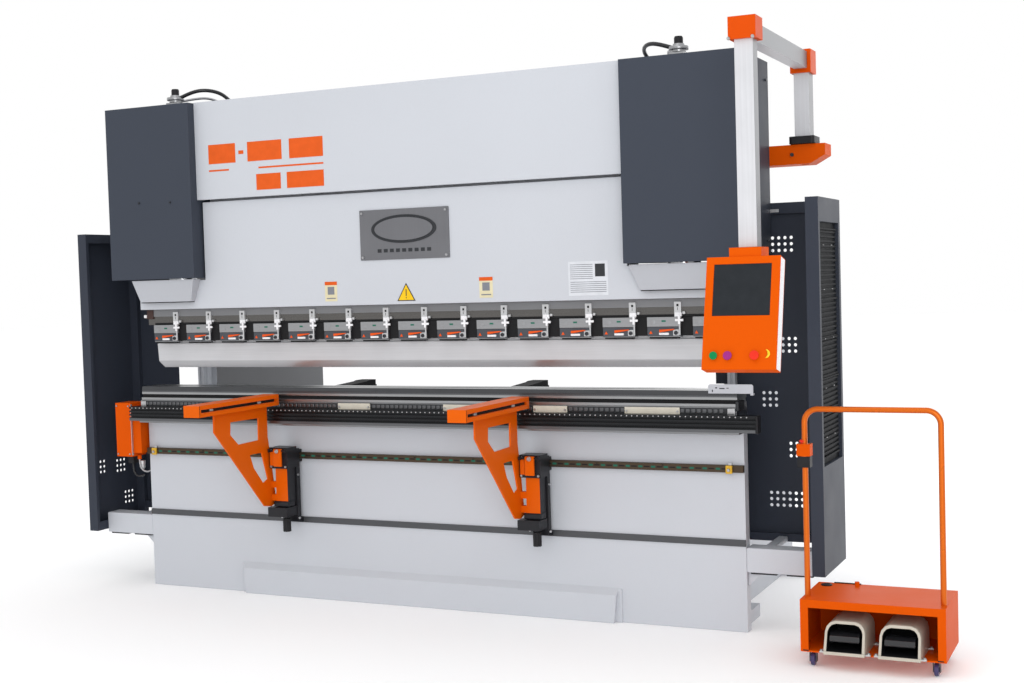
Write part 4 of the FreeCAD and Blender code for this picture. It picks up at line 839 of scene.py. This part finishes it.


# ---- upper punch ----
# A long ground punch with a polished bevel down to its bending edge.
# A black line of painted shadow marks the gap between the clamp feet and its shoulder.
punch_steel = ground_metal("punch_steel", (0.56, 0.565, 0.585), 0.46, (3, 160, 160), 0.03, 0.15)
punch_bevel = ground_metal("punch_bevel", (0.42, 0.42, 0.435), 0.30, along_x, 0.08, 0.7)
punch = finished_copy("upper_punch", punch_steel, 0.0012)
coloured(punch, punch_bevel, lambda centre, normal: centre.z < 1.150)
shadow = block("shadow", (-0.066, -0.070, 1.2325), (0.060, -0.040, 1.2385), 0.0005, 1)
every_clamp("punch_gap_shadows", shadow, slot_black)


# ---- crowning motor box, cable and hoses ----
# The motor drives the wedge rows from an orange sheet box at the left end of the table. Its grey
# cable drops in a curve to the bed, and black hoses bend from the cylinder valves to the tank.
finished_copy("crowning_motor_box", orange_paint, 0.0025)
motor_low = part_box("crowning_motor_box")[0]
cable_grey = moulded("cable_grey", (0.40, 0.40, 0.41), 0.5, 900, 0.12)
hose_black = moulded("hose_black", (0.014, 0.014, 0.016), 0.32, 900, 0.15, coat=0.4)
hose_silver = ground_metal("hose_silver", (0.42, 0.42, 0.44), 0.33, (500, 500, 500), 0.3, 0.9)


def bent_line(name, points, radius, finish):
    """Round cable or hose through the given turning points."""
    line = bpy.data.curves.new(name, "CURVE")
    line.dimensions = "3D"
    line.bevel_depth = radius
    line.bevel_resolution = 6
    line.resolution_u = 16
    spline = line.splines.new("NURBS")
    spline.points.add(len(points) - 1)
    for point, place in zip(spline.points, points):
        point.co = (*place, 1)
    spline.order_u = 3
    spline.use_endpoint_u = True
    piece = bpy.data.objects.new(name, line)
    bpy.context.scene.collection.objects.link(piece)
    only(piece)
    bpy.ops.object.convert(target="MESH")
    piece = bpy.context.object
    piece.name = name
    bpy.ops.object.shade_smooth()
    return fitted(piece, finish, "frame")


cable_points = [(-1.608, -0.020, 0.640), (-1.608, -0.020, 0.608), (-1.600, -0.010, 0.582),
                (-1.584, 0.008, 0.570), (-1.568, 0.026, 0.582), (-1.550, 0.026, 0.582)]
motor_cable = bent_line("motor_cable", cable_points, 0.004, cable_grey)
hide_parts("crowning_motor_cable")
silver_seam = block("motor_box_seam", (-1.6128, motor_low.y - 0.0012, 0.664),
                    (-1.6108, motor_low.y + 0.012, 0.924), 0.0005, 1)
fitted(silver_seam, strap_steel, "frame")
places = [(x, y, z) for x, y in ((-1.699, motor_low.y), (-1.625, motor_low.y)) for z in (0.672, 0.916)]
fitted(row("motor_box_screws", socket_screw(0.0045), places), screw_steel, "frame")
fitting = block("fitting", (-1.668, -0.040, 0.618), (-1.632, 0.000, 0.662), 0.005, 3)
fitted(fitting, cap_black, "frame")
drain_points = [(-1.650, -0.020, 0.626), (-1.650, -0.022, 0.590), (-1.640, -0.020, 0.560),
                (-1.618, -0.012, 0.548), (-1.600, 0.004, 0.556)]
bent_line("motor_drain_hose", drain_points, 0.005, hose_black)
collar = turned("collar", [(0.0110, -0.020), (0.0165, -0.018), (0.0165, -0.002),
                           (0.0145, 0.000), (0.0145, 0.014), (0.0095, 0.024)], 24)
collar.rotation_euler = (math.radians(90), 0, 0)
collar.location = (-1.608, -0.020, 0.632)
settled(collar)
collar.name = "motor_cable_gland"
fitted(collar, strap_steel, "frame")
thick_points = ((-0.020, 0.000, 2.440), (-0.085, 0.008, 2.466), (-0.150, 0.040, 2.478),
                (-0.195, 0.105, 2.466), (-0.198, 0.180, 2.434), (-0.180, 0.255, 2.404),
                (-0.176, 0.322, 2.376), (-0.180, 0.372, 2.352), (-0.180, 0.372, 2.320))
thin_points = ((-0.014, 0.020, 2.428), (-0.065, 0.080, 2.446), (-0.098, 0.150, 2.452),
               (-0.116, 0.235, 2.430), (-0.122, 0.310, 2.392), (-0.124, 0.366, 2.354),
               (-0.124, 0.366, 2.320))
valve_x = 1.306
for side, word in ((-1, "left"), (1, "right")):
    thick_line = [(side * (valve_x + x), y, z) for x, y, z in thick_points]
    thin_line = [(side * (valve_x + x), y, z) for x, y, z in thin_points]
    bent_line("valve_hose_" + word, thick_line, 0.009, hose_black)
    bent_line("pilot_hose_" + word, thin_line, 0.006, hose_silver)
valve_cast = ground_metal("valve_cast", (0.34, 0.345, 0.355), 0.30, (200, 200, 200), 0.2, 0.9)
valve_parts = (("base", (-0.047, -0.047, 2.392), (0.047, 0.047, 2.401), 0.002),
               ("cube", (-0.034, -0.034, 2.400), (0.034, 0.034, 2.420), 0.003))
places = [(side * valve_x, 0, 0) for side in (-1, 1)]
for name, low, high, edge in valve_parts:
    fitted(row("valve_" + name, block(name, low, high, edge), places), valve_cast, "frame")
neck = turned("neck", [(0.033, 0.000), (0.034, 0.018), (0.030, 0.022), (0.030, 0.030),
                       (0.041, 0.031), (0.042, 0.033), (0.042, 0.043), (0.041, 0.045),
                       (0.026, 0.046), (0.024, 0.056), (0.019, 0.057), (0.019, 0.080),
                       (0.016, 0.087)], 32)
neck.rotation_euler = (math.radians(-90), 0, 0)
settled(neck)
necks = row("valve_necks", neck, [(side * valve_x, 0, 2.401) for side in (-1, 1)])
fitted(necks, valve_cast, "frame")
coloured(necks, cap_black, lambda centre, normal: centre.z > 2.457)
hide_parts("valves_and_hoses")


# ---- sheet support arms ----
# Each arm is a flame-cut orange gusset with two openings under an extruded bar. Its column slides
# in a black clamp on a back plate that rolls along the guide rail and is set by a knob below.
support_orange = powder_coat("support_orange", (0.68, 0.104, 0.0006), 0.36, 650, gloss=0.03, shine=0.08)
clamp_black = moulded("clamp_black", (0.012, 0.012, 0.015), 0.36, 900, 0.12, coat=0.1)
knob_black = moulded("knob_black", (0.014, 0.014, 0.016), 0.45, 900, 0.15)
for word in ("left", "right"):
    arm_node = "support_arm_" + word
    carriage_node = "support_carriage_" + word
    lever_node = "lock_lever_" + word
    knob_node = "height_knob_" + word
    arm_body = frame["nodes"][arm_node]["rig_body"]
    carriage_body = frame["nodes"][carriage_node]["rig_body"]
    lever_body = frame["nodes"][lever_node]["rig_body"]
    knob_low, knob_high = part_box(knob_node)
    post = (knob_low.x + knob_high.x) / 2
    arm_piece = finished_copy(arm_node, support_orange, 0.0018)
    finished_copy(carriage_node, clamp_black, 0.002)
    finished_copy(knob_node, knob_black, 0.001)
    finished_copy(lever_node, support_orange, 0.0015)
    bar_middle = post - 0.062
    bar_side = bar_middle + 0.042
    bar_front = -0.705
    column_side = post + 0.028
    coloured(arm_piece, clamp_black, lambda centre, normal: centre.x > column_side and centre.z < 0.70)
    # A black strip in each bar's side slot is painted shade.
    slot_shade_strip = block("bar_slot_shade_%s" % word, (bar_side - 0.0125, bar_front + 0.018, 0.9535),
                         (bar_side - 0.0110, -0.122, 0.9665),
                         0.0004, 1)
    fitted(slot_shade_strip, slot_black, arm_body)
    lips = row("bar_lips_%s" % word, block("lip", (bar_side - 0.0008, bar_front + 0.016, -0.0011),
                                           (bar_side + 0.0008, -0.104, 0.0011),
                                           0.0004, 1), [(0, 0, 0.9515), (0, 0, 0.9685)])
    fitted(lips, vinyl_orange, arm_body)
    for number, y in enumerate((-0.610, -0.250)):
        nut = block("bar_nut_%s_%d" % (word, number), (bar_side - 0.0110, y - 0.012, 0.9550),
                    (bar_side - 0.0040, y + 0.012, 0.9650),
                    0.0010, 1)
        fitted(nut, strap_steel, arm_body)
    cap_joint = block("bar_cap_joint_%s" % word, (bar_side - 0.0006, bar_front + 0.0035, 0.936),
                      (bar_side + 0.0005, bar_front + 0.0060, 0.984),
                      0.0002, 1)
    fitted(cap_joint, slot_black, arm_body)
    foot_cap = block("column_foot_%s" % word, (post - 0.046, -0.136, 0.4515),
                     (post + 0.037, -0.074, 0.480), 0.007, 3)
    fitted(foot_cap, clamp_black, arm_body)
    stripe_places = [(post - 0.040, 0, 0), (post - 0.004, 0, 0)]
    stripe = block("stripe", (-0.011, -0.1475, 0.650), (0.011, -0.1415, 0.716), 0.002)
    fitted(row("clamp_stripes_%s" % word, stripe, stripe_places), support_orange, carriage_body)
    screws = row("clamp_screws_%s" % word, socket_screw(0.0055),
                 [(post + x, -0.142, z) for x in (-0.046, 0.034) for z in (0.646, 0.725)])
    fitted(screws, screw_steel, carriage_body)
    plate_screws = row("plate_screws_%s" % word, socket_screw(0.0055),
                       [(post + x, -0.062, z) for x in (-0.050, 0.050) for z in (0.392, 0.600)])
    fitted(plate_screws, screw_steel, carriage_body)
    boss = turned("lever_boss_%s" % word, [(0.010, -0.001), (0.010, 0.005), (0.008, 0.007), (0.004, 0.007),
                                           (0.004, 0.003)], 20)
    boss.location = (post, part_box(lever_node)[0].y - 0.0005, 0.722)
    settled(boss)
    fitted(boss, screw_steel, lever_body)
    scale_marks = row("block_marks_%s" % word,
                      block("mark", (-0.012, -0.0006, -0.0016), (0.012, 0.0006, 0.0016), 0.0004, 1),
                      [(post, -0.1285, z) for z in (0.418, 0.430)])
    fitted(scale_marks, strap_steel, carriage_body)


# ---- pendant arm ----
# Extruded silver aluminium posts and a beam hang the control from the right side plate. Orange
# cast corner blocks join them, and the rear post turns on a black pivot cap over its bracket.
arm_aluminium = ground_metal("arm_aluminium", (0.60, 0.605, 0.63), 0.42, (160, 160, 2), 0.02, 0.2)
arm_shaded = ground_metal("arm_shaded", (0.27, 0.275, 0.29), 0.38, (160, 160, 2), 0.02, 0.4)
tubes = finished_copy("pendant_arm_tubes", arm_aluminium, 0.003)
coloured(tubes, arm_shaded, lambda centre, normal: normal.x > 0.8)
coloured(tubes, cap_black, lambda centre, normal: centre.z < 2.068 and centre.y > 0.2)
corner_paint = powder_coat("corner_paint", (0.63, 0.068, 0.0005), 0.38, 650, gloss=0.02, shine=0.07)
finished_copy("pendant_bracket", orange_paint, 0.003)
finished_copy("corner_blocks", corner_paint, 0.0035)
post_x = 1.747
corner_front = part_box("corner_blocks")[0].y
places = [(post_x + x, corner_front, 2.352) for x in (-0.045, 0.045)]
fitted(row("corner_screws_front", socket_screw(0.0065), places), screw_steel,
       frame["nodes"]["corner_blocks"]["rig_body"])
bracket_low, bracket_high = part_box("pendant_bracket")
places = [(x, bracket_low.y - 0.0005, 1.992) for x in (bracket_low.x + 0.05, bracket_high.x - 0.14)]
fitted(row("bracket_screws", socket_screw(0.008), places), screw_dark, "frame")


# ---- pendant ----
# The control is a folded orange case with a white folded side, a touch screen under dark glass
# and three domed push buttons. It leans back from its neck so that the operator looks down on it.
pendant_body = frame["nodes"]["pendant_case"]["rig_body"]
case_width = 0.275
case_height = 0.418
case_depth = 0.065
case_edge_y = -0.655
case_top = 1.557
lean = Matrix.Rotation(math.radians(-14), 4, "X")
case_turn = (Matrix.Translation((post_x, case_edge_y, case_top)) @ lean
             @ Matrix.Translation((-post_x, -case_edge_y, -case_top)))
pendant_orange = powder_coat("pendant_orange", (0.66, 0.085, 0.0004), 0.42, 500, gloss=0.0, shine=0.04)
case_white = powder_coat("case_white", (0.80, 0.80, 0.82), 0.4, 700)
screen_glass = moulded("screen_glass", (0.022, 0.025, 0.029), 0.5, 2000, 0.02, shine=0.04)
finished_copy("pendant_case", pendant_orange, 0.002)


def on_case(name, low, high, finish, edge=0.0008):
    """Piece on the leaning case; heights count up from the case's bottom, depths from its front."""
    piece = block(name, (post_x + low[0], case_edge_y + low[1], case_top - case_height + low[2]),
                  (post_x + high[0], case_edge_y + high[1], case_top - case_height + high[2]), edge)
    piece.matrix_world = case_turn
    settled(piece)
    return fitted(piece, finish, pendant_body)


half = case_width / 2
on_case("pendant_screen", (-half + 0.0295, 0.0018, 0.1985),
        (half - 0.0315, 0.0045, case_height - 0.0275), screen_glass)
on_case("pendant_side", (half - 0.002, 0.007, 0.003),
        (half + 0.0012, case_depth - 0.006, case_height - 0.004), case_white)
on_case("pendant_side_fold", (half - 0.002, case_depth - 0.005, 0.003),
        (half + 0.0008, case_depth - 0.001, case_height - 0.004),
        pendant_orange)
on_case("pendant_back", (-half + 0.004, case_depth - 0.001, 0.004),
        (half - 0.004, case_depth + 0.001, case_height - 0.004),
        case_white)
crescent = turned("pendant_crescent", [(0.016, -0.0005), (0.016, 0.0022), (0.0145, 0.0030)], 36)
for corner in crescent.data.vertices:
    if corner.co.x < 0:
        corner.co.x *= -0.45
only(crescent)
bpy.ops.object.mode_set(mode="EDIT")
bpy.ops.mesh.select_all(action="SELECT")
bpy.ops.mesh.normals_make_consistent(inside=False)
bpy.ops.object.mode_set(mode="OBJECT")
crescent.location = (post_x + 0.098, case_edge_y, case_top - case_height + 0.058)
settled(crescent)
crescent.matrix_world = case_turn
settled(crescent)
crescent_yellow = moulded("crescent_yellow", (0.85, 0.55, 0.01), 0.4, 1200, 0.04, coat=0.3)
fitted(crescent, crescent_yellow, pendant_body)
button_green = moulded("button_green", (0.0, 0.22, 0.065), 0.3, 1500, 0.03, coat=0.12, shine=0.08)
button_violet = moulded("button_violet", (0.30, 0.022, 0.20), 0.3, 1500, 0.03, coat=0.12, shine=0.08)
button_red = moulded("button_red", (0.72, 0.028, 0.012), 0.3, 1500, 0.03, coat=0.12, shine=0.08)
for node, finish in (("start_button", button_green), ("reset_button", button_violet),
                     ("emergency_stop", button_red)):
    finished_copy(node, finish, 0.0022, 4)


# ---- side guards ----
# Tall guards of folded slate sheet stand on steel beams at both ends. The right one has a black
# rack of louvres in its window, and rows of round holes are punched through the leaves.
guard_slate = powder_coat("guard_slate", (0.034, 0.040, 0.056), 0.40, 800)
painted_node("guard_left", guard_slate)
right_guard = painted_node("guard_right", guard_slate)
rack_black = moulded("rack_black", (0.010, 0.011, 0.013), 0.5, 700, 0.25, shine=0.05)


def in_guard_window(centre, normal):
    """True on the faces inside the right guard's window."""
    return 1.8495 < centre.x < 1.888 and -0.06 < centre.y < 0.278 and 0.715 < centre.z < 1.690


coloured(right_guard, rack_black, in_guard_window)
rack_front = 1.8780
shelf = block("shelf", (rack_front, -0.056, -0.0035), (rack_front + 0.0085, 0.274, 0.0035), 0.0012)
places = [(0, 0, z) for z in (0.74, 0.90, 1.06, 1.22, 1.38, 1.54, 1.665)]
fitted(row("rack_shelves", shelf, places), rack_black, "frame")
slat = block("slat", (rack_front, -0.050, -0.0045), (rack_front + 0.0055, 0.268, 0.0045), 0.0016)
places = [(0, 0, 0.757 + 0.0195 * i) for i in range(47)]
fitted(row("rack_slats", slat, places), rack_black, "frame")
# Small bright steel bits on the black rack are painted glints.
glint = block("glint", (rack_front + 0.004, -0.0035, -0.0015),
              (rack_front + 0.0095, 0.0035, 0.0015), 0.0005, 1)
places = [(0, y, z) for y in (0.030, 0.180) for z in (0.82, 1.02, 1.22, 1.42, 1.60)]
fitted(row("rack_glints", glint, places), strap_steel, "frame")
latch = block("guard_latch", (1.602, 0.2835, 1.750), (1.640, 0.2885, 1.764), 0.001)
fitted(latch, strap_steel, "frame")
rubber = moulded("strip_rubber", (0.016, 0.016, 0.018), 0.6, 700, 0.15)
strip_low = 0.2465
strip = block("strip", (0, -0.004, strip_low), (0.110, 0.070, strip_low + 0.0072), 0.001)
places = [(x, 0, 0) for x in (1.565, 1.715, -1.675, -1.825)]
fitted(row("beam_rubber_strips", strip, places), rubber, "frame")


# ---- hydraulics, oil tank and rear ----
# Cast iron motor and pump, chromed rods and a welded oil tank stand behind the ram, all fixed to
# the side plates. The castings keep a rough skin; the tank is painted like the frame.
casting_grey = moulded("casting_grey", (0.13, 0.14, 0.155), 0.5, 260, 0.5)
motor_blue = moulded("motor_iron", (0.10, 0.12, 0.155), 0.42, 320, 0.4)
rod_chrome = ground_metal("rod_chrome", (0.72, 0.73, 0.75), 0.15, (400, 400, 400), 0.03)
finished_copy("hydraulic_unit", motor_blue, 0.002)
finished_copy("cylinders", casting_grey)
finished_copy("piston_rods", rod_chrome)
finished_copy("oil_tank", machine_grey, 0.003)


# ---- back gauge ----
# Two black carriages run on rails behind the bed and lift an aluminium beam. Two fingers slide on
# it; each has a bright stop block in front of a dark stepped body.
carriage_black = moulded("carriage_black", (0.018, 0.018, 0.021), 0.42, 700, 0.2)
beam_silver = ground_metal("beam_silver", (0.50, 0.505, 0.52), 0.34, along_x, 0.08, 0.7)
finger_black = moulded("finger_black", (0.006, 0.006, 0.008), 0.5, 900, 0.1, shine=0.04)
finished_copy("gauge_carriage", carriage_black, 0.0015)
finished_copy("gauge_beam", beam_silver, 0.0015)
for word in ("left", "right"):
    node = "gauge_finger_" + word
    finger = finished_copy(node, finger_black, 0.0015)
    coloured(finger, strap_steel, lambda centre, normal: centre.y < 0.202)


# ---- electrical cabinet ----
# A folded steel cabinet hangs on the left side plate, painted like the frame. Its flat door is
# one folded sheet with a small handle, and it swings on two pin hinges.
finished_copy("electrical_cabinet", machine_grey, 0.003)
finished_copy("cabinet_door", machine_grey, 0.002)


# ---- pedal trolley ----
# A low orange sheet trolley carries two foot pedals under cream cast hoods. A bent tube handle
# rises from its ends with a stop box on it, and it rolls on violet casters in black forks.
trolley_body = frame["nodes"]["trolley_box"]["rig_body"]
finished_copy("trolley_box", orange_paint, 0.002)
handle_copper = powder_coat("handle_copper", (0.62, 0.125, 0.008), 0.28, 500, gloss=0.12, metal=0.6)
handle = finished_copy("trolley_handle", handle_copper)


def outside_tube(centre):
    """True on the stop box, which stands out past the handle's left leg."""
    return max(abs(centre.x - 1.887), abs(centre.y + 0.365)) > 0.0145 and centre.x < 1.93


coloured(handle, cap_black, lambda centre, normal: 0.751 < centre.z < 0.7945 and outside_tube(centre))
coloured(handle, orange_paint, lambda centre, normal: 0.7955 < centre.z < 0.843 and outside_tube(centre))
stop_button = turned("trolley_stop_button", [(0.008, -0.001), (0.008, 0.004), (0.013, 0.005),
                                             (0.013, 0.010), (0.009, 0.0135)], 24)
stop_button.rotation_euler = (math.radians(-90), 0, 0)
stop_button.location = (1.880, -0.365, 0.842)
settled(stop_button)
fitted(stop_button, button_red, trolley_body)
hood_cream = moulded("hood_cream", (0.50, 0.46, 0.39), 0.40, 420, 0.35, coat=0.2)
hoods = finished_copy("pedal_hoods", hood_cream, 0.0022, 3)
pedal_xs = (2.042, 2.244)
# Black on the faces inside each hood's opening is painted shade.
hood_inside_shade = moulded("hood_inside_shade", (0.010, 0.010, 0.012), 0.5, 700, 0.15)


def inside_hood(centre, normal):
    """True on the faces that look into a hood's own opening."""
    offset = centre.x - min(pedal_xs, key=lambda x: abs(centre.x - x))
    towards_middle = offset * normal.x < -0.002 and abs(offset) < 0.0675
    from_roof = normal.z < -0.3 and centre.z > 0.13 and abs(offset) < 0.066
    on_floor = normal.z > 0.9 and centre.z < 0.080 and abs(offset) < 0.066
    on_back = normal.y < -0.9 and centre.y > -0.30
    return towards_middle or from_roof or on_floor or on_back


coloured(hoods, hood_inside_shade, inside_hood)
foot_tab = block("tab", (-0.013, -0.012, 0.0645), (0.013, 0.004, 0.0720), 0.002)
places = [(x + side * 0.082, y, 0) for x in pedal_xs for side in (-1, 1) for y in (-0.440, -0.275)]
fitted(row("hood_feet", foot_tab, places), strap_steel, trolley_body)
foot_bolt = turned("bolt", [(0.006, 0.0), (0.006, 0.004), (0.004, 0.0055)], 12)
foot_bolt.rotation_euler = (math.radians(-90), 0, 0)
settled(foot_bolt)
places = [(x + side * 0.087, y - 0.004, 0.0718) for x in pedal_xs for side in (-1, 1)
          for y in (-0.440, -0.275)]
fitted(row("hood_bolts", foot_bolt, places), strap_steel, trolley_body)
cart_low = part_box("trolley_box")[0]
socket_plate = block("trolley_socket", (2.125, -0.1185, 0.150), (2.155, -0.1125, 0.178), 0.002)
fitted(socket_plate, cap_black, trolley_body)
plug = turned("trolley_plug", [(0.022, -0.001), (0.022, 0.003), (0.019, 0.005), (0.012, 0.005),
                               (0.011, 0.002)], 32)
plug.rotation_euler = (math.radians(-90), 0, 0)
plug.scale = (1.0, 0.8, 1)
plug.location = (1.915, -0.160, 0.2570)
settled(plug)
fitted(plug, cap_black, trolley_body)
strip = block("trolley_top_strip", (1.935, -0.118, 0.2565), (2.040, -0.111, 0.2610), 0.001)
fitted(strip, cap_black, trolley_body)
slot = block("slot", (-0.011, -0.0012, -0.0022), (0.011, 0.0008, 0.0022), 0.0008, 1)
places = [(x, cart_low.y, 0.0640) for x in (1.892, 2.386)]
fitted(row("trolley_slots", slot, places), cap_black, trolley_body)
pedal_dark = moulded("pedal_dark", (0.010, 0.010, 0.012), 0.18, 400, 0.08, coat=0.9)
for word in ("left", "right"):
    finished_copy("pedal_" + word, pedal_dark, 0.003, 3)
caster_violet = moulded("caster_violet", (0.055, 0.045, 0.13), 0.35, 600, 0.15, coat=0.3)
fork_dark = ground_metal("fork_dark", (0.10, 0.10, 0.115), 0.35, (80, 80, 80), 0.1, 0.8)
for node in ("front_wheel_left", "front_wheel_right", "rear_wheels"):
    finished_copy(node, caster_violet, 0.0015)
for node in ("caster_fork_left", "caster_fork_right"):
    finished_copy(node, fork_dark, 0.0008)
